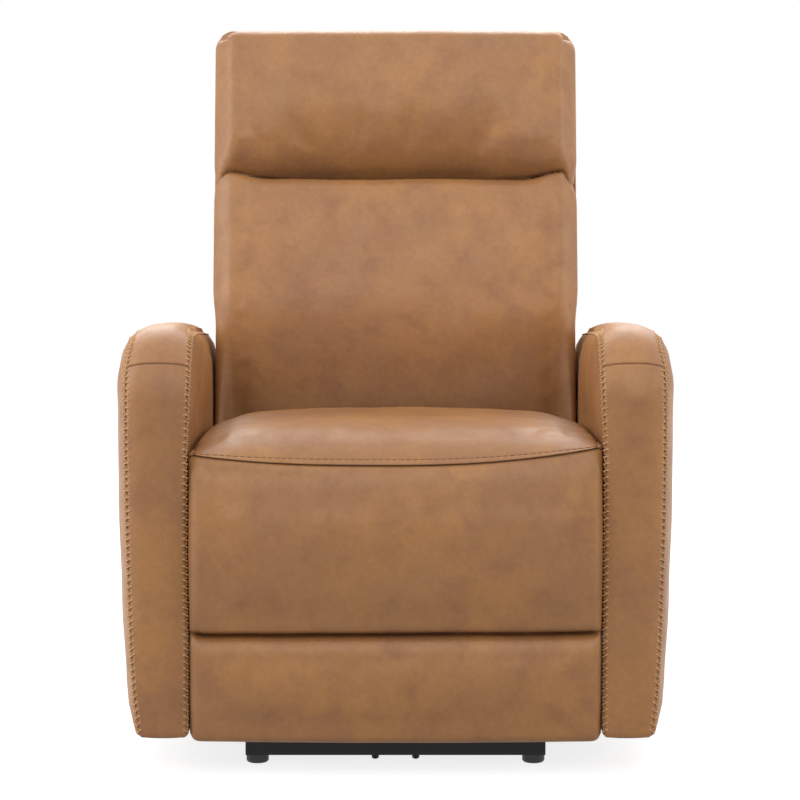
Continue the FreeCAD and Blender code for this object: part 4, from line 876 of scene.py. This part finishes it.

# %% [markdown]
# Behind the cushions the wooden frame wears its own leather: sides, top and a rear panel over
# thin wadding. It is pulled tight and tacked, so it needs no stuffing, only a slight belly. A
# narrow channel runs between it and the cushions, with painted shade in its depth.

# %% Outer back
def shell_cover():
    """Leather over the back's frame: sides, top and rear panel."""
    top, rear = BACK_TOP - 6, 231
    front = CUSHION_THICK + 0.8
    points, faces = box_lattice(
        steps_across(HALF, 24, 2.4, 12),
        steps((front, 152, 2.6), (152, 210, 9), (210, rear, 3.5)),
        steps((-160, 575, 10), (575, top, 4)),
    )
    for side in (1, -1):
        points = round_corner(points, side_face(side, HALF, 20), (1, rear, rear - 18), 2.4)
        points = round_corner(points, side_face(side, HALF, 3), (1, front, front + 4))
    points = round_corner(points, (1, rear, rear - 18), (2, top, top - 20), 2.4)
    points = round_corner(points, (1, front, front + 5), (2, top, top - 5))
    for side, radius in ((1, 42), (-1, 38)):
        points = round_corner(points, side_face(side, HALF, radius), (2, top, top - radius))

    x, v, w = points.T.copy()
    share = np.clip(np.abs(x) / HALF, 0, 1)
    belly = np.sin(math.pi * np.clip((v - CUSHION_THICK) / 92, 0, 1))
    points[:, 0] += np.sign(x) * share * (12.5 * wider_above_arms(w) + 1.5 * belly)
    channel = bell(np.abs(x) - 271.5, 2.6) * wider_above_arms(w)
    channel = channel * (1 - ease(v, front, front + 8))
    points[:, 1] += 9 * channel
    upward = np.sin(math.pi * np.clip((w + 160) / 765, 0, 1))
    rear_panel = 2.5 * np.cos(math.pi * share / 2) * upward + 0.5 * ripple(x, w, 60)
    points[:, 1] += ease(v, 200, rear) * rear_panel
    # Painted shade in the depth of the channel.
    return cover("outer_back_cover", on_back(points), faces, -0.5 * channel)


shell = shell_cover()
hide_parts("outer_back")
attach(shell, "back")

# %% [markdown]
# The seat is crowned across and rolls over at the front, down to a seam that it shares with
# the leg rest. Its measures follow the leather: across, and along it from that seam. The seam
# rises towards the arms and the front runs back there, because the cover is pulled round the
# foam's corners. The leg rest below uses the same seam, so the two always meet.

# %% The seat's measures
SEAT_HALF = 278.2
SEAM_Z = 423.0
FRONT_ROLL = 118.0  # of the cover's length, from the seam up over the front
TOPSTITCH_AT = 8.6  # along the cover from the seam
ROLL_Y = smooth_curve([
    (0, 16), (10, 22.2), (22, 30.2), (33, 38.6), (44, 48), (57, 60.2), (73, 75.4),
    (93, 94.8), (118, 119.4), (250, 251), (514, 514),
])
ROLL_Z = smooth_curve([
    (0, 0), (10, 0.192), (22, 0.392), (33, 0.555), (44, 0.695), (57, 0.815), (73, 0.905),
    (93, 0.965), (118, 1), (514, 1),
])
SEAT_CREST = smooth_curve([
    (0, 466), (118, 466), (180, 464.5), (250, 462), (330, 458.5), (400, 454.5), (460, 451),
    (514, 447.5),
])
LEFT_EDGE = smooth_curve([
    (0, 437.5), (57, 437.5), (110, 440.5), (204, 440), (347, 433), (514, 421),
])
RIGHT_EDGE = smooth_curve([
    (0, 448.8), (57, 448.8), (110, 449), (204, 446), (347, 438), (514, 425),
])


def seam_height(x):
    """The seam between seat and leg rest rises towards the arms, more on the right."""
    share = np.abs(x) / SEAT_HALF
    return SEAM_Z + np.where(x > 0, 23.5 * share**2.2, 13.2 * share**3)


def front_bow(x):
    """The seat's front runs back towards the arms."""
    share = np.abs(x) / SEAT_HALF
    return 12 * share**2 + 4 * ease(share, 0.93, 1)


def seat_top(x, b):
    """Y and Z of the seat's top, b millimetres along the cover from the front seam."""
    share = np.clip(np.abs(x) / SEAT_HALF, 0, 1)
    y = ROLL_Y(b)
    crest = SEAT_CREST(y)
    edge = np.where(x > 0, RIGHT_EDGE(y), LEFT_EDGE(y))
    crown = crest - (crest - edge) * (0.40 * share**2.2 + 0.60 * share**7)
    seam = seam_height(x)
    nose = seam + 1.0 + np.maximum(crown - seam - 1, 0) * ROLL_Z(b)
    z = np.where(b < FRONT_ROLL, nose, crown)
    return y + front_bow(x) * (1 - ease(b, 20, 150)), z


seam_ends = seam_height(np.array([-SEAT_HALF, SEAT_HALF]))
print("the front seam rises by", np.round(seam_ends - SEAM_Z, 1).tolist(), "mm at its ends")

# %% [markdown]
# The cushion is a closed block again, with its close rows at the front seam for the topstitch.
# Its top follows the crown, its sides and rear tuck in where they meet the arms and the back,
# and its underside lies on the springs. A shallow groove marks the line of topstitches.

# %% Seat cover
def seat_cover():
    """The seat cushion: crowned across and rolled over at the front, down to its seam."""
    points, faces = box_lattice(
        steps_across(SEAT_HALF, 24, 3.5, 8),
        steps((0, 4, 1.3), (4, 13.6, 1.6), (13.6, 120, 5.5), (120, 490, 9), (490, 514, 4)),
        np.array([-1.0, -0.85, -0.5, -0.2, -0.08, 0.0]),  # share of the thickness, down
    )
    x, b, down = points.T.copy()
    share = np.clip(np.abs(x) / SEAT_HALF, 0, 1)
    y, top = seat_top(x, b)
    rear = ease(b, 496, 514)
    side = ease(share, 0.955, 1)
    on_top = np.clip(1 + down * 12, 0, 1)
    bulge = np.sin(math.pi * np.clip(-down, 0, 1))

    behind_nose = ease(y, 84, 100)
    springs = 378 - 0.05 * (y - 86)
    floor = (seam_height(x) + 0.2) * (1 - behind_nose) + springs * behind_nose
    top = top - 9 * rear**2 - 5 * side**3
    height = top + (top - floor) * down
    dimple = 0.7 * ripple(x, y, 52) * ease(b, 25, 70)
    groove_line = -0.7 * bell(b - TOPSTITCH_AT, 1.6) + 0.4 * bell(b - 4.2, 2.0)
    rear_lines = 0.5 * np.sin(y / 4.2) * ease(y, 430, 470) * (1 - ease(y, 492, 506))
    rear_lines = rear_lines * (1 - share**4)
    points[:, 2] = height + (dimple + groove_line + rear_lines) * on_top
    points[:, 1] = y - bulge * 1.0 * rear + 1.2 * (1 - on_top) * (1 - ease(b, 0, 3))
    points[:, 0] = x - np.sign(x) * 2.0 * side * (1 - bulge)
    # The leather along the front seam is darker: painted shade in the seam.
    piece = cover("seat_cover", points, faces, -0.3 * (1 - ease(b, 0, 1.6)))

    edges = np.max([1 - ease(b, 14, 70), ease(b, 440, 500), ease(share, 0.8, 0.96)], axis=0)
    stuff(piece, np.maximum(edges, 1 - on_top))
    return piece


seat = seat_cover()
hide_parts("seat_cushion")
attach(seat, "carriage")

# %% [markdown]
# The leg rest is a board with two pads under one cover, drawn in by a crease low down.

# %% Leg rest
REST_LOW, REST_CREASE, REST_HIGH = 46.4, 193.5, 422.3
REST_PROFILE = smooth_curve([
    (49, 2), (60, 0.6), (75, 0), (110, -0.8), (150, -0.4), (163, 0.2), (170, 1.2),
    (177, 3.3), (184, 7.5), (188, 12), (191, 18), (193.5, 25), (195.5, 19), (197, 11),
    (199, 6), (202, 3), (207, 1.2), (214, 0), (228, -1.8), (260, -3.6), (310, -4.5),
    (345, -3.8), (366, -2.4), (383, -0.4), (395, 1.8), (404, 4.2), (412, 7.6), (418, 11.4),
    (421.5, 15.2),
])


def rest_cover():
    """Both pads of the leg rest in one closed cover, drawn in by a crease between them."""
    points, faces = box_lattice(
        steps_across(HALF, 18, 3, 8),
        steps((0, 6, 1.5), (6, 18, 4), (18, 70, 10)),
        steps(
            (REST_LOW, 66, 3.3), (66, 160, 8), (160, 184, 4), (184, 202, 1.3), (202, 218, 4),
            (218, 396, 8), (396, 415, 5), (415, REST_HIGH, 1.3),
        ),
    )
    for side in (1, -1):
        points = round_corner(points, side_face(side, HALF, 12), (1, 0, 12))
        points = round_corner(points, side_face(side, HALF, 13), (2, REST_LOW, REST_LOW + 13))
    points = round_corner(points, (1, 0, 8), (2, REST_LOW, REST_LOW + 8))
    points = round_corner(points, (1, 0, 2.5), (2, REST_HIGH, REST_HIGH - 2))

    x, y, z = points.T.copy()
    share = np.clip(np.abs(x) / HALF, 0, 1)
    frontness = np.clip(1 - y / 45, 0, 1) ** 1.5
    bend = 1.2 * share**2 * np.sign(x) - 1.6 * ease(-x, 90, 170)
    bend = bend + 0.5 * np.sin(x / 41.0) + 3.2 * ease(-x, 255, 277)
    line = REST_CREASE + bend
    shift = bend * bell(z - REST_CREASE, 40)
    longer = 7 * ease(-x, 30, 120) * ease(z, 345, 385) * (1 - ease(z, 404, 420))
    depth = REST_PROFILE(z - shift + longer)
    no_crease = np.where(z > REST_CREASE, np.maximum(z, 228), np.minimum(z, 150))
    flat = REST_PROFILE(no_crease)
    keep = 1 - 0.72 * ease(np.abs(x), 262, 279)
    shape = flat + (depth - flat) * keep
    ridge = bell(np.abs(x) - 263, 8) * ease(z, 230, 260) * (1 - ease(z, 385, 415))
    shape -= 2.0 * ridge * np.where(x > 0, 1, 0.4)
    drawn_in = bell(z - line, 13) * 0.6
    drawn_in = drawn_in * np.sin(x / 5.9 + 1.4 * np.sin(x / 27)) * np.sin(x / 19)
    points[:, 1] += REST_FRONT + (shape + drawn_in + 0.6 * ripple(x, z, 55)) * frontness
    points[:, 1] += front_bow(x) * (1 - ease(y, 10, 70)) * (0.7 + 0.3 * ease(z, 300, 420))
    points[:, 2] += (seam_height(x) - SEAM_Z) * ease(z, 330, REST_HIGH) ** 1.5
    # Painted shade in the crease and along the top edge at the seam with the seat.
    painted_shading = -0.35 * bell(z - line - 1, 3.2) * frontness * keep
    painted_shading = painted_shading - 0.3 * ease(z, REST_HIGH - 1.2, REST_HIGH)
    piece = cover("leg_rest_cover", points, faces, painted_shading)

    folds = 1 - ease(np.abs(z - line), 8, 50)
    ends = np.maximum(ease(z, 350, 405), 1 - ease(z, 55, 95))
    stuff(piece, np.max([ease(share, 0.8, 0.95), folds, ends, ease(y, 6, 30)], axis=0))
    return piece


rest = rest_cover()
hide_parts("leg_rest_pad_upper", "leg_rest_pad_lower")
start = metres([0, 2, 420]).tolist()
end = metres([0, 2, 378]).tolist()
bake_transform(rest)

# %% [markdown]
# A seam is held by stitches, and on leather they are large enough to see. They could be drawn
# as dashes in the material, but a real thread stands proud, dips into its holes and casts a
# small shadow. So each one is a thin tube along a short bent line, and all the stitches of one
# seam are one mesh.

# %% Threads
def tubes(name, lines, radius, material, sides=6):
    """Short threads: lines is (count, points, 3) in millimetres, each made a thin tube."""
    lines = np.asarray(lines, float)
    count, n, _ = lines.shape
    along = np.gradient(lines, axis=1)
    along /= np.maximum(np.linalg.norm(along, axis=2, keepdims=True), 1e-9)
    whole = lines[:, -1] - lines[:, 0]
    bend = lines[:, n // 2] - (lines[:, 0] + lines[:, -1]) / 2
    bent = np.linalg.norm(bend, axis=1, keepdims=True) > 1e-6
    up = np.where(bent, bend, np.array([[0.0, 0.0, 1.0]]))
    side = np.cross(whole, up)[:, None, :] + np.zeros_like(lines)
    side /= np.maximum(np.linalg.norm(side, axis=2, keepdims=True), 1e-9)
    out = np.cross(side, along)
    turn = 2 * math.pi * np.arange(sides) / sides
    cosine, sine = np.cos(turn)[None, None, :, None], np.sin(turn)[None, None, :, None]
    ring = lines[:, :, None, :] + radius * (
        cosine * side[:, :, None, :] + sine * out[:, :, None, :]
    )
    faces = []
    for c in range(count):
        base = c * n * sides
        for i in range(n - 1):
            p = base + i * sides
            for k in range(sides):
                m = (k + 1) % sides
                faces.append((p + k, p + sides + k, p + sides + m, p + m))
        faces.append(tuple(base + k for k in range(sides)))
        faces.append(tuple(base + (n - 1) * sides + k for k in reversed(range(sides))))
    return cover(name, ring.reshape(-1, 3), faces, material=material)


def run_along(line):
    """The distance of each point of a line from its start."""
    lengths = np.linalg.norm(np.diff(line, axis=0), axis=1)
    return np.concatenate([[0], np.cumsum(lengths)])


def along_line(line, run, at):
    """Points of a line at given distances along it."""
    return np.stack([np.interp(at, run, line[:, k]) for k in range(line.shape[1])], -1)


print("a stitch of 5 points and 6 sides has", 4 * 6 + 2, "faces")

# %% [markdown]
# The seat's front seam is topstitched: a single row of lock stitches, one every 9 mm, a little
# above the seam. It holds the turned edges down and lies in the groove that the seat's cover
# already has.

# %% The seat's topstitch
STITCH, GAP, THREAD = 7.3, 2.0, 0.6  # length, space between and radius
across = np.linspace(-SEAT_HALF + 3, SEAT_HALF - 3, 260)
stitch_y, stitch_z = seat_top(across, np.full(len(across), TOPSTITCH_AT))
stitch_line = np.stack([across, stitch_y + 0.35, stitch_z - 0.45], 1)
stitch_up = np.tile([0.0, -0.62, 0.78], (len(across), 1))
run = run_along(stitch_line)
stitch_starts = np.arange(GAP, run[-1], STITCH + GAP)
stitch_starts = stitch_starts[stitch_starts + STITCH < run[-1]]
stitches = []
for share, height in ((0.0, -0.9), (0.12, 0.25), (0.5, 0.45), (0.88, 0.25), (1.0, -0.9)):
    at = stitch_starts + share * STITCH
    lift = along_line(stitch_up, run, at) * (height * THREAD)
    stitches.append(along_line(stitch_line, run, at) + lift)
topstitch = tubes("seat_topstitch", np.stack(stitches, 1), THREAD, SEAM_THREAD)
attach(topstitch, "carriage")
print("topstitches:", len(stitch_starts))

# %% [markdown]
# An arm is a plywood box with a rounded front, wrapped in foam. Seen from its side it has one
# outline: up the front, over the nose, along a top that falls towards the rear, down, and back
# under. All the leather of the arm hangs from that outline, so it is drawn first, smoothed,
# and cut into even steps, with closer ones at the seam across the front.

# %% The arm's outline
ARM_FRONT, ARM_REAR, ARM_FOOT = 12.0, 760.0, 50.5
NOSE, REAR_CORNER, FOOT_CORNER = 100.0, 56, 7.0  # radii
REAR_TURN = ARM_REAR - 54  # where the top ends
CROSS_SEAM_Z = 559.5
ARM_TOP = smooth_curve([
    (100, 605.5), (130, 604.5), (260, 596.5), (400, 587), (540, 576), (668, 564.5), (760, 555),
])


def arc(centre, radius, first, last, count):
    """Points of an arc without its first one. Angles are in degrees, 0 towards the rear."""
    turn = np.radians(np.linspace(first, last, count))[1:]
    y, z = centre
    return [(y + radius * math.cos(t), z + radius * math.sin(t)) for t in turn]


def arm_outline():
    """The arm's side outline at its crest, from the front foot up, over and down the rear."""
    nose = (ARM_FRONT + NOSE, 605.5 - NOSE)
    low = ARM_FOOT + FOOT_CORNER
    corner = (ARM_REAR - REAR_CORNER, float(ARM_TOP(REAR_TURN)) - REAR_CORNER)
    rear_foot, front_foot = ARM_REAR - FOOT_CORNER, ARM_FRONT + FOOT_CORNER
    nose_turn = np.radians(np.linspace(0, 86, 60))[1:]
    line = [(ARM_FRONT, z) for z in np.linspace(low, nose[1], 80)]
    line += [(nose[0] - NOSE * math.cos(t), nose[1] + NOSE * math.sin(t)) for t in nose_turn]
    line += [(y, float(ARM_TOP(y))) for y in np.linspace(122, REAR_TURN, 90)]
    line += arc(corner, REAR_CORNER, 90, 0, 25)
    line += [(ARM_REAR, z) for z in np.linspace(corner[1], low, 60)[1:]]
    line += arc((rear_foot, low), FOOT_CORNER, 0, -90, 10)
    line += [(y, ARM_FOOT) for y in np.linspace(rear_foot, front_foot, 80)[1:]]
    line += arc((front_foot, low), FOOT_CORNER, -90, -180, 10)[:-1]
    return np.array(line)


def arm_path(spacing):
    """Evenly spaced outline points with outward normals, closer together at the cross seam."""
    line = arm_outline()
    loop = np.vstack([line, line[:1]])
    run = run_along(loop)
    fine = np.linspace(0, run[-1], 6000, endpoint=False)
    path = along_line(loop, run, fine)
    for _ in range(25):
        path = 0.5 * path + 0.25 * (np.roll(path, 1, 0) + np.roll(path, -1, 0))
    front = (path[:, 0] < 60) & (path[:, 1] > 400)
    cross = fine[np.argmin(np.where(front, np.abs(path[:, 1] - CROSS_SEAM_Z), 1e9))]
    count = int(run[-1] / spacing)
    at = run[-1] * np.arange(count) / count
    close = cross + np.array([-2.6, -1.6, -0.8, 0, 0.8, 1.6, 2.6])
    at = np.sort(np.concatenate([at[np.abs(at - cross) > 3.2], close]))
    along = np.roll(path, -1, 0) - np.roll(path, 1, 0)
    along /= np.linalg.norm(along, axis=1)[:, None]
    tangent = along_line(along, fine, at)
    tangent /= np.linalg.norm(tangent, axis=1)[:, None]
    normal = np.stack([-tangent[:, 1], tangent[:, 0]], 1)
    return along_line(path, fine, at), normal, at, cross


path, normal, path_at, cross_at = arm_path(3.1)
print("arm outline:", len(path), "points,", round(path_at[-1]), "mm round")

# %% [markdown]
# A band runs over the front and the top of the arm between two seams. The seams lie a little
# lower than the band's crest and don't run parallel: the inner one leans towards the seat at
# the front and away from it further back. Each is a line in space, one point for each point of
# the outline, read from templates of where the seam stands at each height and depth.

# %% The arm's seams
DROP_IN = smooth_curve([(50, 2.4), (66, 3), (120, 6), (300, 8.5), (540, 9.5), (580, 11), (606, 13)])
DROP_OUT = smooth_curve([(50, 2.4), (66, 3.2), (110, 7), (200, 10), (540, 12), (606, 13.5)])
INNER_FRONT = smooth_curve([
    (50, 281.5), (430, 281), (470, 279.5), (505, 278), (545, 276.5), (590, 277), (620, 278.5),
])
INNER_AWAY = smooth_curve([
    (80, 0), (130, 3), (200, 9), (300, 16), (450, 25), (650, 31), (760, 32),
])
OUTER_X = smooth_curve([
    (50, 347), (65, 348.5), (117, 354), (200, 358), (300, 360), (412, 361.4), (500, 361.5),
    (550, 361), (590, 357.5), (620, 357),
])
path_y, path_z = path.T
outward = np.stack([np.zeros(len(path)), normal[:, 0], normal[:, 1]], 1)
inner_low = DROP_IN(path_z) + 2 * ease(path_y, 150, 600) * ease(path_z, 300, 500)
outer_low = DROP_OUT(path_z)


def seam_line(x, low):
    """A seam at the given places across, as far below the crest as low says."""
    return np.stack([x, path_y - normal[:, 0] * low, path_z - normal[:, 1] * low], 1)


leaning = 0.3 * ease(path_z, 70, 320) + 0.7 * ease(path_z, 500, 550)
inner_seam = seam_line(INNER_FRONT(path_z) + INNER_AWAY(path_y) * leaning, inner_low)
outer_seam = seam_line(OUTER_X(path_z), outer_low)
band_width = np.linalg.norm(outer_seam - inner_seam, axis=1)
print("band between the seams:", np.round([band_width.min(), band_width.max()], 1), "mm wide")

# %% [markdown]
# The leather dips in a narrow groove along each seam, rises beside it, and is drawn in at
# every saddle stitch. The band is crowned between its seams and has one more seam across the
# front, where two hides meet. Rows of points parallel to the seams carry all of that: they are
# close together at the groove and wide apart in the middle.

# %% Rows of the band
SADDLE_PITCH = 9.3
GROOVE = 2.4


def groove(distance):
    """Depth of the seam's groove at a distance from it, with a low roll beside it."""
    return GROOVE * bell(distance, 1.7) - 0.5 * bell(distance - 5, 2.5)


def pucker(distance):
    """The leather is drawn in at each stitch."""
    return 0.35 * np.cos(2 * math.pi * path_at / SADDLE_PITCH) * bell(distance - 3, 3.5)


def band_row(distance, from_outer=False):
    """A row of the band's points at a distance from one of its seams."""
    share = distance / band_width
    if from_outer:
        share = 1 - share
    base = inner_seam + (outer_seam - inner_seam) * share[:, None]
    near = np.minimum(share, 1 - share) * band_width
    low = inner_low + (outer_low - inner_low) * share
    lift = low * (1 - np.abs(2 * share - 1) ** 2.8) - groove(near) + pucker(near)
    from_cross = path_at - cross_at
    lift -= 2.2 * bell(from_cross, 0.9) - 0.5 * bell(np.abs(from_cross) - 4.5, 2.5)
    return base + outward * lift[:, None]


print("the groove is", round(float(groove(0)), 1), "mm deep")

# %% [markdown]
# A side panel fills the loop of a seam. Its rows step inwards from the seam to a line in the
# middle of the panel, where a last face closes it. The outer panel swells over its foam, the
# inner one is flatter, with a hollow where it stands free above the seat. The swell depends on
# the distance from the seam's loop, so it follows the seam round every corner.

# %% Rows of the side panels
CORE_Y, CORE_Z = (250.0, 520.0), 300.0  # the line in the middle of a panel
PANEL_WIDTH = smooth_curve([
    (50, 374), (117, 376), (158, 376.5), (238, 379.5), (318, 381.5), (430, 382), (520, 382),
    (560, 380.5), (610, 379),
])


def inward(seam):
    """Unit steps from a seam towards the middle of the side panel, and the way there."""
    core = np.stack([np.clip(seam[:, 1], *CORE_Y), np.full(len(seam), CORE_Z)], 1)
    step = core - seam[:, 1:]
    reach = np.linalg.norm(step, axis=1)
    return step / reach[:, None], reach


outer_step, outer_reach = inward(outer_seam)
inner_step, inner_reach = inward(inner_seam)


def row_place(seam, step, reach, distance):
    """Y, Z and distance from the seam's loop of a row, a distance in from its seam."""
    way = np.minimum(distance, reach)
    yz = seam[:, 1:] + step * way[:, None]
    if np.max(way) < 12:
        return yz.T, way
    gap = yz[:, None, :] - seam[None, ::3, 1:]
    return yz.T, np.sqrt((gap**2).sum(2)).min(1)


def outer_row(distance):
    """A row of the outer panel's points, a distance in from its seam."""
    (y, z), gap = row_place(outer_seam, outer_step, outer_reach, distance)
    run = 21 + 18 * (1 - ease(y, 60, 200)) * (1 - ease(z, 480, 560))
    out = (PANEL_WIDTH(z) - outer_seam[:, 0]) * (1 - np.exp(-gap / run))
    uneven = 0.7 * ripple(y, z, 60) * ease(gap, 10, 60)
    return np.stack([outer_seam[:, 0] + out - groove(gap) + pucker(gap) + uneven, y, z], 1)


def inner_row(distance):
    """A row of the inner panel's points, a distance in from its seam."""
    (y, z), gap = row_place(inner_seam, inner_step, inner_reach, distance)
    free = ease(z, 462, 500) * (1 - ease(y, 400, 500))
    full = 281.3 - 8.5 * free + 2 * ease(y, 480, 620)
    blend = 1 - np.exp(-gap / (8 + 9 * ease(y, 90, 400)))
    x = inner_seam[:, 0] + (full - inner_seam[:, 0]) * blend + groove(gap) - pucker(gap) * 0.6
    return np.stack([x, y, z], 1)


print("from seam to middle:", np.round([outer_reach.min(), outer_reach.max()]), "mm")

# %% [markdown]
# Each arm is three pieces of leather: the band, the outer panel and the inner panel. They are
# cut from the same templates, turned over for the other side, so one set of rows serves both.
# Faces are turned round on the mirrored side, so that all of them look outwards.

# %% Arm covers
NEAR_SEAM = [0, 0.8, 1.7, 3, 5, 8]


def strip_faces(rows, n):
    """Quads between closed rows of n points."""
    faces = []
    for r in range(rows - 1):
        for k in range(n):
            m = (k + 1) % n
            faces.append((r * n + k, r * n + m, (r + 1) * n + m, (r + 1) * n + k))
    return faces


def arm_piece(name, rows, sign, flip, fill=False, painted_shading=0.0):
    """Joins the rows of one arm piece, right (1) or left (-1), and may fill its middle."""
    n = len(rows[0])
    points = np.concatenate(rows)
    faces = strip_faces(len(rows), n)
    if fill:
        points[-n:, 0] = points[-n:, 0].mean()
        faces.append(tuple((len(rows) - 1) * n + k for k in range(n)))
    points[:, 0] *= sign
    if (sign > 0) == flip:
        faces = [face[::-1] for face in faces]
    return cover(name + ("_right" if sign > 0 else "_left"), points, faces, painted_shading)


band_rows = [band_row(d) for d in NEAR_SEAM]
band_rows += [band_row(8 + (band_width - 16) * s) for s in (0.06, 0.16, 0.3, 0.5, 0.7, 0.84, 0.94)]
band_rows += [band_row(d, True) for d in NEAR_SEAM[::-1]]
wide = [(d, 0) for d in NEAR_SEAM + [13, 20]]
wide += [(20, s) for s in (0.1, 0.22, 0.36, 0.52, 0.7, 0.86)]
outer_rows = [outer_row(d + (outer_reach - 20) * s) for d, s in wide]
inner_rows = [inner_row(d + (inner_reach - 20) * s) for d, s in wide]
# The band above the cross seam is painted 6 % lighter as painted light on the arm's top, and the
# cross seam gets painted shade.
painted_light_on_top = ease(path_at, cross_at, cross_at + 1) * (1 - ease(path_y, 735, 745))
band_painted_shading = np.tile(0.06 * painted_light_on_top - 0.4 * bell(path_at - cross_at, 1.0), len(band_rows))

for sign, side in ((1, "right"), (-1, "left")):
    band = arm_piece("arm_band", band_rows, sign, True, painted_shading=band_painted_shading)
    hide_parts("arm_cover_" + side)
    outer_panel = arm_piece("arm_outer_panel", outer_rows, sign, True, fill=True)
    inner_panel = arm_piece("arm_inner_panel", inner_rows, sign, False, fill=True)
    for piece in (band, outer_panel, inner_panel):
        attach(piece, "carriage")

# %% [markdown]
# Both seams of an arm are saddle stitched with thick thread that crosses from the band to the
# side panel and back. Every stitch goes slanting over the groove, and a thinner return shows
# beneath it. Each is a line through seven points: down in a hole, up over the edge of the
# leather, across the groove, and down in the hole on the other side.

# %% Saddle stitches
HOLE = 4.8  # distance of the holes from the seam
ROWS_USED = (1.8, 3.6, HOLE)


def saddle_stitches(which, side, sign, seam, band_side, panel_side):
    """Zigzag threads over one seam of an arm, from the foot up, over the top and down."""
    last = int(np.argmax((path_y > 700) & (path_z < 75)))
    begin = np.arange(path_at[2], path_at[last], SADDLE_PITCH)
    away = seam - 0.5 * (band_side(4.0) + panel_side(4.0))
    away /= np.linalg.norm(away, axis=1)[:, None]
    band, panel = ({d: row(d) for d in ROWS_USED} for row in (band_side, panel_side))
    for word, lead, radius, lift in (("stitches", 0.62, 1.05, 1.0), ("returns", -0.38, 0.55, 0.0)):
        stations = (  # share of the way, the row that it lies over, and how far proud of it
            (0, band[HOLE], -0.8), (0.08, band[3.6], 0.5 * lift), (0.27, band[1.8], 0.8 * lift),
            (0.5, seam, GROOVE - 0.6 + 0.7 * lift),
            (0.73, panel[1.8], 0.8 * lift), (0.92, panel[3.6], 0.5 * lift), (1, panel[HOLE], -0.8),
        )
        stop = begin - lead * SADDLE_PITCH
        lines = []
        for share, row, height in stations:
            at = begin + (stop - begin) * share
            lines.append(along_line(row, path_at, at) + along_line(away, path_at, at) * height)
        lines = np.stack(lines, 1)
        lines[:, :, 0] *= sign
        threads = tubes("arm_%s_%s_%s" % (which, word, side), lines, radius, SADDLE_THREAD)
        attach(threads, "carriage")


for sign, side in ((1, "right"), (-1, "left")):
    saddle_stitches("inner", side, sign, inner_seam, band_row, inner_row)
    saddle_stitches("outer", side, sign, outer_seam, lambda d: band_row(d, True), outer_row)

# %% [markdown]
# The last cell counts the pieces that were made.

# %% Finish
print(len(made_pieces), "pieces made")
